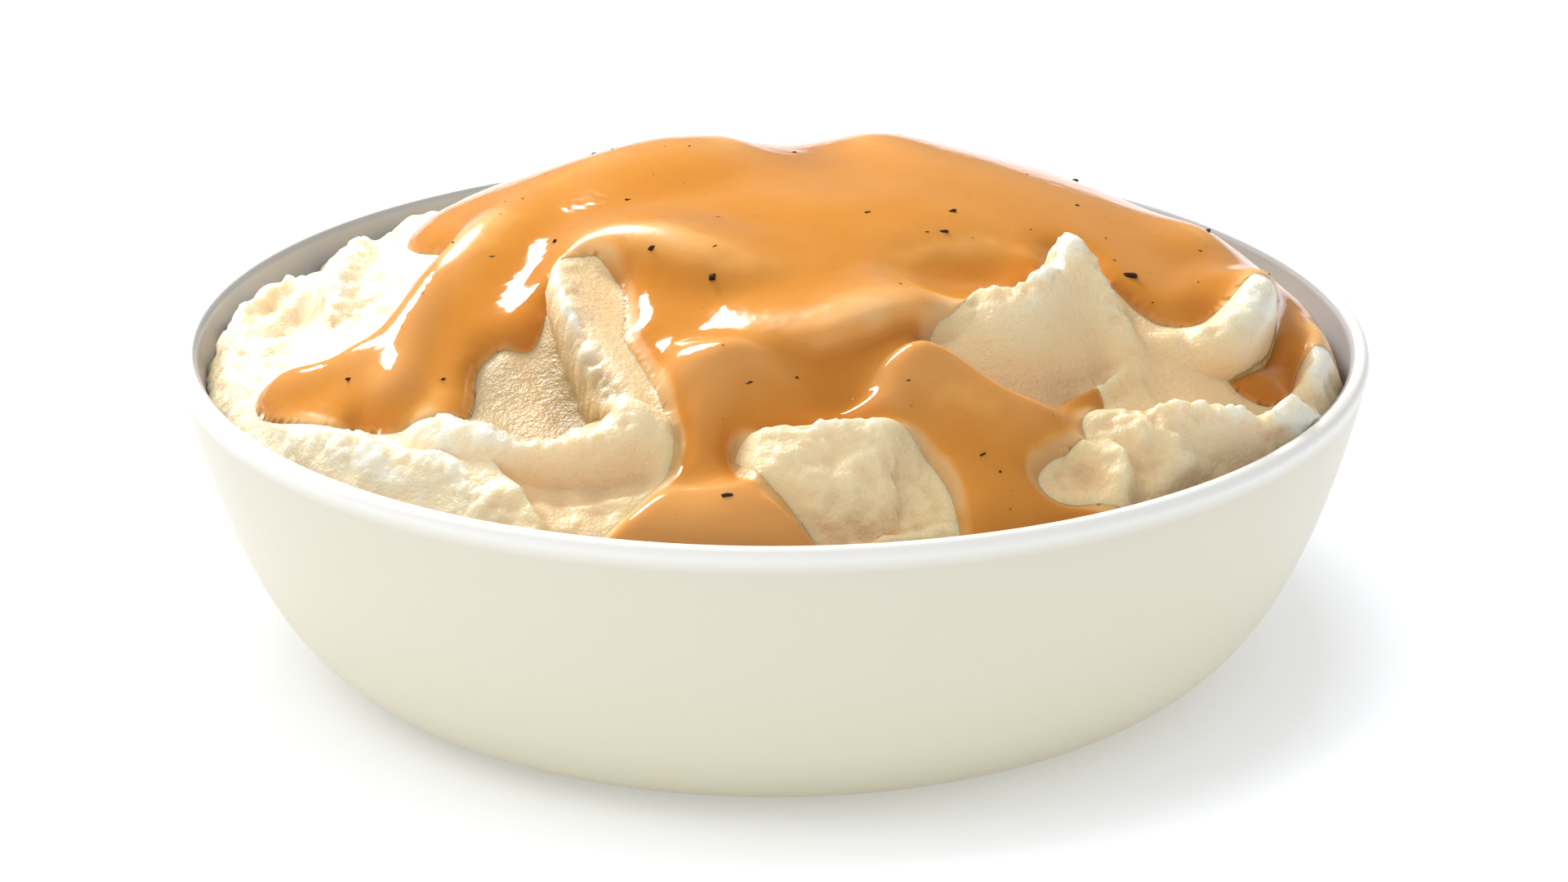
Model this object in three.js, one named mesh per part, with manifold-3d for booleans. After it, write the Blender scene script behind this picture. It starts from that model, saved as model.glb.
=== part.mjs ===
// A side of mashed potato: a shallow round bowl, heaped with mash, with thick gravy run over the top.
// Millimetres, +Z up. The origin is the middle of the bowl's foot, on the table. +Y is the back.
// The mash and the gravy are height fields over the bowl's plan. Each field is a low dome plus a
// set of strokes: ridges and dishes left by the spoon, each a short line with a height at each point.
import * as THREE from "three";
import { mergeVertices } from "three/addons/utils/BufferGeometryUtils.js";
import Module from "manifold-3d";

// ---- the bowl
const RIM_RADIUS = 65;
const BOWL_HEIGHT = 35.5;
const FOOT_RADIUS = 44.3;
const FOOT_WIDTH = 4.5;
const FOOT_DEPTH = 1.2;
const WALL = 2.1;
const FLOOR = 3.4;
const LIP_TOP_WIDTH = 1.5;
const WALL_STEPS = 9;
const BOWL_SIDES = 60;

// ---- the heap
const GAP = 0.3;
const EDGE_HEIGHT = 33;
const DOME_RISE = 19.5;
const DOME_RADIUS = 62.5;
const DOME_SHIFT = [3, -2];
const EDGE_ROLL_WIDTH = 4.5;
const EDGE_ROLL_FRONT = 1;
const EDGE_ROLL_BACK = 2.6;
const TOP_RINGS = 24;
const SIDE_SIDES = 48;
const SIDE_LEVELS = [0.93, 0.62, 0.34, 0.12];
const MESH_CENTRE = [-2, -17];

// ---- the gravy
const GRAVY_DEPTH = 1.5;
const GRAVY_FILM = 0.5;
const GRAVY_EDGE_WIDTH = 3.2;
const GRAVY_ROUNDING = 0.62;
const GRAVY_SMOOTHING = 4;
const BLEND = 1.2;
const EDGE_DIVE = 2;
const SHEET_BOTTOM = 20;
const CUTTER_BOTTOM = 10;
const CUTTER_SPREAD = 1.05;

// ---- the strokes' cross-sections
const CREST_EDGE = 0.12;
const CRISP_POWER = 1.6;
const ROLL_POWERS = [2.6, 1.3];

// ---- the pepper
const FLAKE_SIZE = 1.5;
const FLAKE_FLATNESS = 0.45;
const FLAKE_RAISE = 0.12;

// Each ridge: its width behind and in front of its line, how crisp its crest is and how much its front
// bulges, from 0 to 1, and its line as [x, y, height]. Behind is the left-hand side as it is travelled.
const RIDGES = [
  { name: "left front lip", behind: 3, front: 3.2, crisp: 0.8, roll: 0.9, line: [
    [-37.5, -38, 0.3], [-34, -40.8, 2.2], [-30.5, -43, 3.1], [-26.6, -45.2, 3.2], [-21.3, -47.2, 2.2],
    [-17.6, -47.8, 2.2], [-14.4, -48, 1.4], [-12, -47.8, 0.4]] },
  { name: "joining shoulder", behind: 3.6, front: 4, crisp: 0, roll: 0.7, line: [
    [-17.6, -43.6, 1.6], [-14.2, -46, 3], [-11.6, -47.4, 1.8]] },
  { name: "cross ridge", behind: 6, front: 1.4, crisp: 0.8, roll: 0.3, line: [
    [-17.5, -13.5, 0.6], [-20.4, -18.6, 2.4], [-21.8, -22.5, 3.4], [-21.6, -26, 3.6],
    [-20.8, -30, 3.4], [-19.6, -34, 3.1], [-18, -38.4, 2.9], [-16.8, -41.2, 2.6], [-15.6, -43.6, 2],
    [-14.8, -45.4, 1]] },
  { name: "left shoulder", behind: 5, front: 7, crisp: 0, roll: 0, line: [
    [-39.5, -30, 0.6], [-38, -23, 1.8], [-35.5, -15, 2.6], [-31.5, -7, 2.8], [-28, 1, 1.6]] },
  { name: "fold", behind: 1.2, front: 6, crisp: 0.3, roll: 0, line: [
    [-30.5, -43.8, 0.6], [-29.1, -46, 1.4], [-27.9, -48.6, 1.8], [-25.7, -52, 1.8], [-23.4, -56, 1.2]] },
  { name: "middle lip", behind: 3, front: 9, crisp: 0.8, roll: 0.7, line: [
    [-3.8, -48, 0.3], [-1.2, -49, 2.2], [2.3, -50.2, 3.5], [6, -50.2, 3.9],
    [9.3, -49.4, 3.8], [12.6, -48.8, 3], [15.6, -49.6, 0.4]] },
  { name: "low front ridge", behind: 1.4, front: 1.8, crisp: 0.8, roll: 0, line: [
    [3, -60.2, 0.3], [7, -59.6, 1], [13, -58.6, 1.1], [18, -57.4, 0.5]] },
  { name: "right lip", behind: 3, front: 9, crisp: 0.7, roll: 0.5, line: [
    [17, -30.6, 0.8], [20.7, -28.6, 3.2], [24.3, -28, 4], [26.6, -26.4, 4.6], [28, -23, 5],
    [29.4, -19.8, 3.6]] },
  { name: "right lip's side", behind: 2.2, front: 9, crisp: 0.6, roll: 0.4, line: [
    [27.6, -18.4, 1.6], [29.4, -17.6, 4.2], [31.4, -17.4, 5.6], [33.4, -19, 5.2],
    [35.4, -21.8, 3.8], [37, -24.6, 2.2], [38, -27.4, 0.5]] },
  { name: "right crease", behind: 1.8, front: 2, crisp: 0.9, roll: 0, line: [
    [29, -39, 0.7], [32.4, -35.4, 1.7], [35.2, -31.6, 1.7], [37, -28.4, 0.7]] },
  { name: "right front lip", behind: 3, front: 6, crisp: 0.8, roll: 0.5, line: [
    [30.6, -41, 0.4], [33.7, -39.6, 1.6], [37.2, -39.2, 2.8], [42, -37, 4], [46.6, -34.9, 4],
    [50.8, -32, 3.4], [54, -29.4, 3.4], [57.7, -25.6, 3], [60, -21.5, 0.8]] },
  { name: "edge knob", behind: 3.2, front: 3.2, crisp: 0.1, roll: 0.8, line: [
    [52.2, -30.4, 4.2], [53.6, -29.2, 6.2], [55.4, -27.6, 6.2], [57, -25.6, 4.6]] },
  { name: "right slab", behind: 1.1, front: 5, crisp: 0.3, roll: 0, line: [
    [42, -38.6, 0.8], [43.4, -40.4, 2], [42, -42.8, 2.2], [39.8, -45.6, 1]] },
  { name: "right lump by the stream", behind: 2.4, front: 2.4, crisp: 0, roll: 0.3, line: [
    [29.5, -44, 0.8], [32, -45, 1.7], [35.4, -45, 1.2]] },
  { name: "tongue", behind: 3, front: 4, crisp: 0.4, roll: 1, line: [
    [43, -20.2, 0.8], [45, -19.4, 2.4], [46.8, -17.6, 3.4], [48.4, -14, 4.4], [49.6, -9.6, 5],
    [50.2, -4.6, 4], [51.4, 0, 2.2], [53, 4, 0.8]] },
  { name: "right edge ridge", behind: 5, front: 2.6, crisp: 0.3, roll: 0.3, line: [
    [57.4, -23, 2.4], [58.6, -16, 4], [59.6, -9, 3.6], [59, -2, 1.4]] },
  { name: "left edge ridge", behind: 3, front: 3, crisp: 0.7, roll: 0, line: [
    [-58, -9, 0.4], [-59.5, -1, 2], [-58, 5, 1.8], [-54, 6, 1.8], [-51, 0, 1]] },
  { name: "left ridge", behind: 3.4, front: 4.4, crisp: 0.6, roll: 0, line: [
    [-42, 24, 0.4], [-46, 14, 1.6], [-47.5, 2, 2.4], [-47.5, -9, 1.8]] },
  { name: "left front ridge", behind: 3, front: 4.4, crisp: 0.6, roll: 0.3, line: [
    [-53, -28, 0.5], [-46, -36, 2], [-39, -43, 2.2], [-33, -46, 1.4]] },
  { name: "left low ridge", behind: 2.6, front: 3.4, crisp: 0.7, roll: 0, line: [
    [-36, -43.5, 0.5], [-31.5, -48.5, 1.8], [-28, -54, 1.2]] },
  { name: "top left hump", behind: 13, front: 12, crisp: 0, roll: 0, line: [
    [-26, 4, 1.8], [-14, 8, 2.8], [-6, 12, 2]] },
  { name: "top right hump", behind: 11, front: 11, crisp: 0, roll: 0, line: [
    [12, 16, 1.6], [18, 12, 1], [30, 6, 0.6], [40, 7, 1], [47, 7, 3]] },
  { name: "left wave", behind: 6, front: 5, crisp: 0.4, roll: 0.6, line: [
    [-19, -14.5, 1.6], [-15.8, -17, 3.2], [-11.5, -19.6, 3.7], [-7.2, -22.6, 3.3], [-3, -24.4, 2.3],
    [2, -25.5, 0.8]] },
  { name: "middle bump", behind: 8, front: 4, crisp: 0.1, roll: 0.9, line: [
    [-7, -34.6, 1.4], [-2, -36, 2.4], [3.6, -36.4, 3.2], [7.8, -35.2, 3.8], [12.8, -32.2, 3.5],
    [17, -29.6, 1.8]] },
  { name: "middle lump", behind: 4.4, front: 4.4, crisp: 0.1, roll: 0.3, line: [
    [-8.6, -41.6, 2], [-4, -41.4, 2.8], [0.6, -43, 2]] },
  { name: "right lump", behind: 5, front: 7, crisp: 0.1, roll: 0, line: [
    [11, -45.6, 1.2], [13, -42, 2.8], [19, -42, 3.2], [25, -43.5, 2]] },
  { name: "back lip", behind: 5, front: 3.5, crisp: 0.7, roll: 0, line: [
    [-17, 47, 0.8], [-6, 50.5, 1.6], [6, 49.5, 1.8], [16, 45, 1]] },
  { name: "back left ridge", behind: 5, front: 4, crisp: 0.6, roll: 0, line: [
    [-48, 28, 0.3], [-40, 36, 0.6], [-29, 43, 0.8], [-21, 45, 0.4]] },
  { name: "back right ridge", behind: 5, front: 4, crisp: 0.5, roll: 0, line: [
    [22, 47, 0.6], [33, 41.5, 1.1], [43, 34, 1.2], [52, 25, 0.6]] },
  { name: "right flap", behind: 1.1, front: 4.5, crisp: 0.3, roll: 0, line: [
    [34, -42.4, 0.8], [35.4, -45, 2.2], [35.8, -48, 2.4], [34.8, -51, 1.4]] },
];

// Each dish: its width to either side and its line as [x, y, depth].
const DISHES = [
  { name: "left dish", width: 8, line: [[-30.6, -29, 1.4], [-27.6, -35, 3.2], [-23.4, -41, 3.8]] },
  { name: "above the left dish", width: 6, line: [[-30.6, -25, 1.6], [-28, -19, 1.6], [-25, -12, 0.8]] },
  { name: "middle dish", width: 5, line: [[-1, -45.4, 2.6], [4, -45.6, 4], [11, -44.4, 3.4]] },
  { name: "under the middle bump", width: 3.6, line: [
    [-1, -39.6, 1.2], [4, -41.6, 2.6], [9.4, -40, 2.4], [14, -36.6, 1.4]] },
  { name: "middle valley", width: 6, line: [[-12, -29, 1.6], [-10.4, -34, 1.8], [-9.6, -38, 0.8]] },
  { name: "pit behind the right lip", width: 6, line: [[18.5, -23.5, 3.6], [24.5, -19.5, 4.4]] },
  { name: "right dish", width: 8, line: [[38, -31, 1.3], [45, -28.4, 1.5], [51.6, -25, 1.8]] },
  { name: "beside the tongue", width: 3.6, line: [
    [49.6, -22.4, 1.4], [53.6, -17.6, 3.4], [55, -9, 3], [55.6, -2, 1.6]] },
  { name: "saddle", width: 9, line: [[-1, 36, 1.2], [0, 24, 2.2], [3, 12, 2.4], [5, 2, 1]] },
  { name: "left pit", width: 4, line: [[-53, -3, 3], [-51, -7, 1.4]] },
  { name: "back left pit", width: 4, line: [[-52, 12, 2.2], [-49, 8, 1.4]] },
  { name: "front neck", width: 5, line: [
    [-6.4, -46.6, 2.4], [-6.2, -50, 4], [-6, -53.6, 4.4], [-6, -56, 1.6]] },
  { name: "foot of the left lip", width: 3, line: [
    [-28.6, -47.6, 0.3], [-25.8, -49.4, 0.8], [-21.3, -51, 1.2], [-17.3, -51.6, 1.4], [-13, -51.2, 1.4],
    [-9.8, -49.8, 0.8]] },
  { name: "foot of the middle lip", width: 4, line: [[0, -58, 1.2], [6, -59.4, 1.8], [13, -58.8, 1.4]] },
  { name: "foot of the right lip", width: 6, line: [
    [19.5, -38.5, 1.2], [27.5, -36.5, 2.6], [34, -30.5, 2.2]] },
  { name: "right front foot", width: 4, line: [[45.4, -43.4, 1.6], [49, -39.6, 1.6], [53, -34, 1]] },
  { name: "left hollow", width: 15, line: [[-26, 26, 1], [-38, 26, 2.6], [-46, 24, 2.8]] },
  { name: "right hollow", width: 9, line: [[38, 32, 1.6], [57, 17, 2.8]] },
  { name: "back dish", width: 7, line: [[-10, 44, 1.6], [2, 44.5, 2.2], [12, 41, 1.6]] },
  { name: "back left dish", width: 6, line: [[-42, 31, 1], [-33, 38.5, 1.6]] },
  { name: "back right dish", width: 6, line: [[30, 35.5, 1.8], [38, 31, 1.6]] },
  { name: "under the cross ridge", width: 4.4, line: [
    [-27, -24, 1], [-25.4, -29, 2], [-23.2, -34, 3], [-20.4, -39, 3.6], [-18, -42.6, 2.4]] },
  { name: "olive pit", width: 2.8, line: [[29.8, -37.4, 1.8], [32.2, -35.4, 2.4]] },
];

// Extra gravy where it pools or runs, as the ridges above.
const GRAVY_LUMPS = [
  { name: "front pool", width: 7.5, line: [[-11, -59, 1.2], [-6, -59, 1.7], [-1, -59.6, 1.3]] },
  { name: "middle stream", width: 5, line: [[-6.5, -46, 1.6], [-6.5, -52, 0.8]] },
  { name: "left finger", width: 4, line: [[-52, -23.4, 1.2], [-47.6, -25.6, 1.4], [-44, -27, 0.6]] },
  { name: "left fold", width: 3.4, line: [[-41.6, -19, 0.6], [-43.4, -25, 1.5], [-43.6, -30, 0.8]] },
  { name: "left lobe", width: 4.6, line: [[-37.6, -17, 0.8], [-38.6, -25, 1.8], [-39.4, -33.4, 2]] },
  { name: "blob", width: 5.4, line: [[-9, -40.6, 1.2], [-4, -41.4, 1.8], [1, -43, 0.8]] },
  { name: "right lobe", width: 5, line: [
    [13, -46, 2], [14.6, -41.6, 2.6], [19, -39, 1.8], [26, -43, 0.8]] },
];

// The gravy's edge in plan, stretch by stretch, once round. Points past the wall let it reach the bowl.
const GRAVY_EDGE = [
  // the left lobe, from its tip up the far side
  [-54.8, -22], [-52.6, -19.2], [-46.2, -22.3], [-42.8, -21.6], [-40.6, -17.4], [-38.8, -11.9],
  [-35.8, -8.3], [-35.6, -4.5], [-38.6, -0.5], [-40.4, 5],
  // the back
  [-39.6, 13], [-41, 22], [-40, 31], [-33, 39], [-22, 45], [-12, 48.5], [-2, 52], [7, 46], [13, 34],
  [22, 33], [31, 40], [39, 37], [44, 27], [51, 21], [57, 18], [62.5, 13], [65, 7],
  // down between the edge ridge and the tongue, and back up round the tongue
  [63, -1], [61.4, -7], [59.4, -11.6], [56.4, -13.4], [55.4, -16.6], [54.4, -20.4], [51.6, -22.8],
  [48.2, -22.4], [49.8, -19.6], [51.8, -16], [52.6, -12], [52.4, -8.4], [50.6, -7], [48.8, -9.4],
  [47.2, -12.6], [45.2, -16], [43, -18.4],
  // round the right lip
  [40, -19], [35.6, -15.4], [33, -11], [29.8, -11], [28, -17], [26, -22.5], [23, -26],
  [19, -29.5], [15.8, -33.4],
  // the right stream with the olive pit, down to the wall and back
  [16.5, -36.2], [20, -38], [24, -40.4], [27.4, -39], [29.4, -36], [32.2, -33.8], [34, -35.4],
  [32.8, -38.4], [31.4, -41], [31.6, -44], [28.3, -47], [26.6, -49.5], [28.5, -51.4], [33, -50.6],
  [38, -51.5], [34, -58], [26, -63], [19, -63], [18.6, -57.4], [17.6, -53.4], [15.2, -50],
  // along the middle lip
  [12, -48.2], [6, -48.8], [0, -48.8], [-3.6, -48.6],
  // the middle stream and the front pool
  [-3.2, -51], [-1.3, -54.2], [1.5, -56.6], [4.6, -59.4], [6, -64], [-8, -67], [-20, -63],
  [-18, -59], [-13.8, -55.6], [-11.2, -52.4], [-9.8, -48.6],
  // up and over the cross ridge
  [-10.8, -45], [-12.3, -40.2], [-13.8, -36.6], [-15.2, -33], [-15.4, -29], [-15.8, -24],
  [-18, -19], [-21, -21.2], [-23.4, -24], [-24.2, -27],
  // round the left dish, back to the lobe
  [-25.4, -28.6], [-28.2, -28], [-30.6, -30], [-30.8, -34.4], [-31.4, -37.4], [-34.4, -38.4],
  [-38.4, -38.4], [-41, -37], [-43, -35.4], [-45.4, -35.4], [-49.6, -31.6], [-53, -27],
];

// The largest flakes of cracked pepper on the gravy: [x, y, size from 0 to 1, turn in degrees].
const FLAKES = [
  [-15.5, -6, 0.7, 20], [-23, -13, 0.7, 70], [-30, -14, 0.5, 15], [-12, -22, 0.6, 50],
  [-6, -27, 0.8, 80], [-6, -14, 0.5, 0], [-44, -30, 0.6, 35], [-34, -33, 0.5, 60],
  [-4.5, -57.5, 0.9, 10], [-2.5, -44, 0.5, 30], [19, -9, 0.8, 30], [18, -14, 0.8, 10],
  [10, -12, 0.6, 50], [38, -13.5, 1, 15], [33, 2, 0.6, 65], [13.5, -44, 0.6, 5],
  [21, -50, 0.6, 40], [2, 12, 0.7, 25], [-20, 14, 0.8, 75], [14, 24, 0.6, 5], [34, 24, 0.8, 45],
  [-4, 34, 0.7, 60], [-30, 20, 0.5, 15], [48, 8, 0.6, 85],
];

// ---- the bowl's walls
const OUTER_WALL = new THREE.CubicBezierCurve(
  new THREE.Vector2(FOOT_RADIUS, 0), new THREE.Vector2(52, 2),
  new THREE.Vector2(59, 8), new THREE.Vector2(RIM_RADIUS, BOWL_HEIGHT - LIP_TOP_WIDTH),
);

// The wall's line, moved inwards by a distance, from bottom to top.
function wallLine(inset, steps) {
  const line = [];
  for (let i = 0; i <= steps; i += 1) {
    const point = OUTER_WALL.getPoint(i / steps);
    const along = OUTER_WALL.getTangent(i / steps);
    line.push(new THREE.Vector2(point.x - along.y * inset, point.y + along.x * inset));
  }
  return line;
}

const FINE_WALL = wallLine(WALL, 80);

// The inner wall's radius at a height.
function innerRadius(z) {
  const above = FINE_WALL.findIndex((point) => point.y > z);
  const next = above < 0 ? FINE_WALL.length - 1 : Math.max(above, 1);
  const low = FINE_WALL[next - 1];
  const high = FINE_WALL[next];
  return low.x + (high.x - low.x) * (z - low.y) / (high.y - low.y);
}

function bowlGeometry() {
  const outside = wallLine(0, WALL_STEPS);
  const inside = wallLine(WALL, WALL_STEPS).filter((point) => point.y > FLOOR + 1).reverse();
  const footInside = FOOT_RADIUS - FOOT_WIDTH;
  const lipTop = BOWL_HEIGHT;
  const lipMiddle = RIM_RADIUS - WALL / 2 + 0.1;
  const profile = [
    new THREE.Vector2(0, FOOT_DEPTH),
    new THREE.Vector2(footInside - FOOT_DEPTH, FOOT_DEPTH),
    new THREE.Vector2(footInside, 0),
    ...outside,
    new THREE.Vector2(RIM_RADIUS - 0.2, lipTop - 0.6),
    new THREE.Vector2(lipMiddle + 0.35, lipTop - 0.05),
    new THREE.Vector2(lipMiddle - 0.35, lipTop),
    new THREE.Vector2(RIM_RADIUS - WALL, lipTop - 0.6),
    ...inside,
    new THREE.Vector2(innerRadius(FLOOR) - 1, FLOOR),
    new THREE.Vector2(0, FLOOR),
  ];
  return closedGeometry(new THREE.LatheGeometry(profile, BOWL_SIDES).rotateX(Math.PI / 2));
}

// ---- strokes
// A smooth curve through the points of a line; a closed one runs back to its start.
function smoothCurve(points, steps, isClosed) {
  const places = points.map((p) => new THREE.Vector3(...p));
  return new THREE.CatmullRomCurve3(places, isClosed, "catmullrom").getPoints(steps * points.length);
}

// The nearest place on a curve: its distance, its side and the curve's third value there.
function nearestOn(curve, x, y) {
  let best = { distance: Infinity, side: 1, value: 0 };
  for (let i = 1; i < curve.length; i += 1) {
    const a = curve[i - 1];
    const dx = curve[i].x - a.x;
    const dy = curve[i].y - a.y;
    const length2 = dx * dx + dy * dy + 1e-12;
    const t = THREE.MathUtils.clamp(((x - a.x) * dx + (y - a.y) * dy) / length2, 0, 1);
    const ex = x - a.x - t * dx;
    const ey = y - a.y - t * dy;
    const distance = Math.hypot(ex, ey);
    if (distance < best.distance) {
      best = { distance, side: Math.sign(dx * ey - dy * ex), value: a.z + t * (curve[i].z - a.z) };
    }
  }
  return best;
}

// A stroke's cross-section: 1 on its line and 0 from s = 1 on. A crisp one comes to an edge, and
// a rolled one bulges before it falls.
function crossSection(s, crisp, roll) {
  const round = (1 - s * s) ** 2;
  const sharp = (Math.hypot(s, CREST_EDGE) - CREST_EDGE) / (Math.hypot(1, CREST_EDGE) - CREST_EDGE);
  const plain = round * (1 - crisp) + (1 - sharp) ** CRISP_POWER * crisp;
  return plain * (1 - roll) + (1 - s ** ROLL_POWERS[0]) ** ROLL_POWERS[1] * roll;
}

// Turns a stroke into a function of the place, wider and lower by a smoothing distance.
function strokeField(stroke) {
  const curve = smoothCurve(stroke.line, 5, false);
  const behind = stroke.behind ?? stroke.width;
  const front = stroke.front ?? stroke.width;
  const crisp = stroke.crisp ?? 0;
  const roll = stroke.roll ?? 0;
  return (x, y, smoothing) => {
    const near = nearestOn(curve, x, y);
    const width = (near.side > 0 ? behind : front) + smoothing;
    if (near.distance >= width) return 0;
    const s = near.distance / width;
    if (smoothing === 0) return near.value * crossSection(s, crisp, near.side > 0 ? 0 : roll);
    const gain = (behind + front) / (behind + front + 2 * smoothing);
    return near.value * gain * crossSection(s, 0, 0);
  };
}

const RIDGE_FIELDS = RIDGES.map(strokeField);
const DISH_FIELDS = DISHES.map(strokeField);
const LUMP_FIELDS = GRAVY_LUMPS.map(strokeField);

// Where strokes cross, their cubes are added and the cube root is taken. That is close to the
// higher of them and has no edge.
function joined(fields, x, y, smoothing) {
  return Math.cbrt(fields.reduce((sum, field) => sum + field(x, y, smoothing) ** 3, 0));
}

function total(fields, x, y) {
  return fields.reduce((sum, field) => sum + field(x, y, 0), 0);
}

// ---- the mash
function domeHeight(x, y) {
  const r = Math.hypot(x, y) / DOME_RADIUS;
  const shifted = Math.hypot(x - DOME_SHIFT[0] * (1 - r), y - DOME_SHIFT[1] * (1 - r)) / DOME_RADIUS;
  return EDGE_HEIGHT + DOME_RISE * Math.max(0, 1 - shifted * shifted);
}

// How far the heap rolls down where it meets the wall: little in front, more at the back.
function edgeRoll(x, y) {
  const fromWall = innerRadius(EDGE_HEIGHT) - Math.hypot(x, y);
  const s = THREE.MathUtils.clamp(1 - fromWall / EDGE_ROLL_WIDTH, 0, 1.2);
  const back = THREE.MathUtils.clamp((y + DOME_RADIUS) / 40, 0, 1);
  return s * s * THREE.MathUtils.lerp(EDGE_ROLL_FRONT, EDGE_ROLL_BACK, back);
}

function mashHeight(x, y, smoothing = 0) {
  const relief = joined(RIDGE_FIELDS, x, y, smoothing) - joined(DISH_FIELDS, x, y, smoothing);
  return domeHeight(x, y) + relief - edgeRoll(x, y);
}

// ---- the gravy
const GRAVY_CURVE = smoothCurve(GRAVY_EDGE.map((p) => [...p, 0]), 4, true);

// Distance inside the gravy's edge, and negative outside it.
function insideGravy(x, y) {
  const distance = nearestOn(GRAVY_CURVE, x, y).distance;
  let inside = false;
  for (let i = 1; i < GRAVY_CURVE.length; i += 1) {
    const a = GRAVY_CURVE[i - 1];
    const b = GRAVY_CURVE[i];
    const crosses = (a.y > y) !== (b.y > y) && x < (b.x - a.x) * (y - a.y) / (b.y - a.y) + a.x;
    if (crosses) inside = !inside;
  }
  const fromWall = innerRadius(EDGE_HEIGHT) + 0.6 - Math.hypot(x, y);
  return Math.min(inside ? distance : -distance, fromWall);
}

function smoothMax(a, b, reach) {
  const h = THREE.MathUtils.clamp(0.5 + 0.5 * (a - b) / reach, 0, 1);
  return b + (a - b) * h + reach * h * (1 - h);
}

// The gravy's top fills the dishes and thins over the crests, with a rounded edge. Past its edge
// the surface dives under the mash, so that the cut by the mash ends it there.
function gravyHeight(x, y) {
  const mash = mashHeight(x, y);
  const inside = insideGravy(x, y);
  if (inside < 0) return mash + Math.max(inside, -EDGE_DIVE);
  const level = mashHeight(x, y, GRAVY_SMOOTHING) + GRAVY_DEPTH;
  const depth = smoothMax(level - mash, GRAVY_FILM, BLEND) + total(LUMP_FIELDS, x, y);
  const rounding = (1 - (1 - Math.min(inside / GRAVY_EDGE_WIDTH, 1)) ** 2) ** GRAVY_ROUNDING;
  return mash + GAP * Math.min(inside, 1) + depth * rounding;
}

// ---- closed bodies
// Only positions, with shared vertices merged.
function closedGeometry(geometry) {
  geometry.deleteAttribute("normal");
  geometry.deleteAttribute("uv");
  return mergeVertices(geometry, 1e-4);
}

// The heap's radius towards an angle: the gap inside the wall, at the mash's own height there.
function heapRadius(angle) {
  let radius = innerRadius(EDGE_HEIGHT) - GAP;
  for (let pass = 0; pass < 4; pass += 1) {
    radius = innerRadius(mashHeight(radius * Math.cos(angle), radius * Math.sin(angle))) - GAP;
  }
  return radius;
}

// The rings of a top surface, from the middle out to the wall. They are closer together in
// front, where the folds are.
function topRings(height) {
  const rings = [];
  for (let i = 0; i <= TOP_RINGS; i += 1) {
    const part = i / TOP_RINGS;
    const count = Math.max(i * 6, 1);
    rings.push(Array.from({ length: count }, (_, k) => {
      const angle = 2 * Math.PI * k / count;
      const radius = part * heapRadius(angle);
      const x = radius * Math.cos(angle) + MESH_CENTRE[0] * (1 - part * part);
      const y = radius * Math.sin(angle) + MESH_CENTRE[1] * (1 - part * part);
      return [x, y, height(x, y)];
    }));
  }
  return rings;
}

function flatRing(radius, z, count) {
  return Array.from({ length: count }, (_, k) => {
    const angle = 2 * Math.PI * k / count;
    return [radius * Math.cos(angle), radius * Math.sin(angle), z];
  });
}

// A closed body from rings that each go once round, the first and the last a single point.
function ringBody(rings) {
  const positions = rings.flat(2);
  const triangles = [];
  let start = 0;
  for (let i = 1; i < rings.length; i += 1) {
    const inner = rings[i - 1].length;
    const outer = rings[i].length;
    const next = start + inner;
    let a = 0;
    let b = 0;
    while ((inner > 1 && a < inner) || (outer > 1 && b < outer)) {
      const stepOuter = inner === 1 || a === inner || (outer > 1 && (b + 1) / outer <= (a + 1) / inner);
      if (stepOuter && b < outer) {
        triangles.push(start + a % inner, next + b % outer, next + (b + 1) % outer);
        b += 1;
      } else {
        triangles.push(start + a % inner, next + b % outer, start + (a + 1) % inner);
        a += 1;
      }
    }
    start = next;
  }
  const geometry = new THREE.BufferGeometry();
  geometry.setAttribute("position", new THREE.Float32BufferAttribute(positions, 3));
  geometry.setIndex(triangles);
  return geometry;
}

// The mash: its top, then down the inside of the bowl to the floor.
function mashGeometry() {
  const rings = topRings((x, y) => mashHeight(x, y));
  const bottom = FLOOR + GAP;
  for (const level of SIDE_LEVELS) {
    const z = THREE.MathUtils.lerp(bottom, EDGE_HEIGHT - EDGE_ROLL_BACK - 3, level);
    rings.push(flatRing(innerRadius(z) - GAP * 1.4, z, SIDE_SIDES));
  }
  rings.push(flatRing(innerRadius(bottom) - 2.5, bottom, SIDE_SIDES));
  rings.push([[0, 0, bottom]]);
  return ringBody(rings);
}

// ---- cutting and joining
const wasm = await Module();
wasm.setup();

function toSolid(geometry) {
  const closed = closedGeometry(geometry);
  return new wasm.Manifold(new wasm.Mesh({
    numProp: 3,
    vertProperties: new Float32Array(closed.attributes.position.array),
    triVerts: new Uint32Array(closed.index.array),
  }));
}

function toGeometry(solid) {
  const mesh = solid.getMesh();
  const geometry = new THREE.BufferGeometry();
  geometry.setAttribute("position", new THREE.BufferAttribute(mesh.vertProperties, 3));
  geometry.setIndex(new THREE.BufferAttribute(mesh.triVerts, 1));
  return geometry;
}

// A body under a top surface, down to a flat underside.
function bodyUnder(rings, z) {
  const edge = rings[rings.length - 1];
  return toSolid(ringBody([...rings, edge.map(([x, y]) => [x, y, z]), [[0, 0, z]]]));
}

// The mash raised by the gap and carried out past the wall, to cut the gravy's underside.
function mashCutter() {
  const rings = topRings((x, y) => mashHeight(x, y));
  const edge = rings[rings.length - 1];
  const skirt = edge.map(([x, y, z]) => [x * CUTTER_SPREAD, y * CUTTER_SPREAD, z]);
  const raised = [...rings, skirt].map((ring) => ring.map(([x, y, z]) => [x, y, z + GAP]));
  return bodyUnder(raised, CUTTER_BOTTOM);
}

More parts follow.
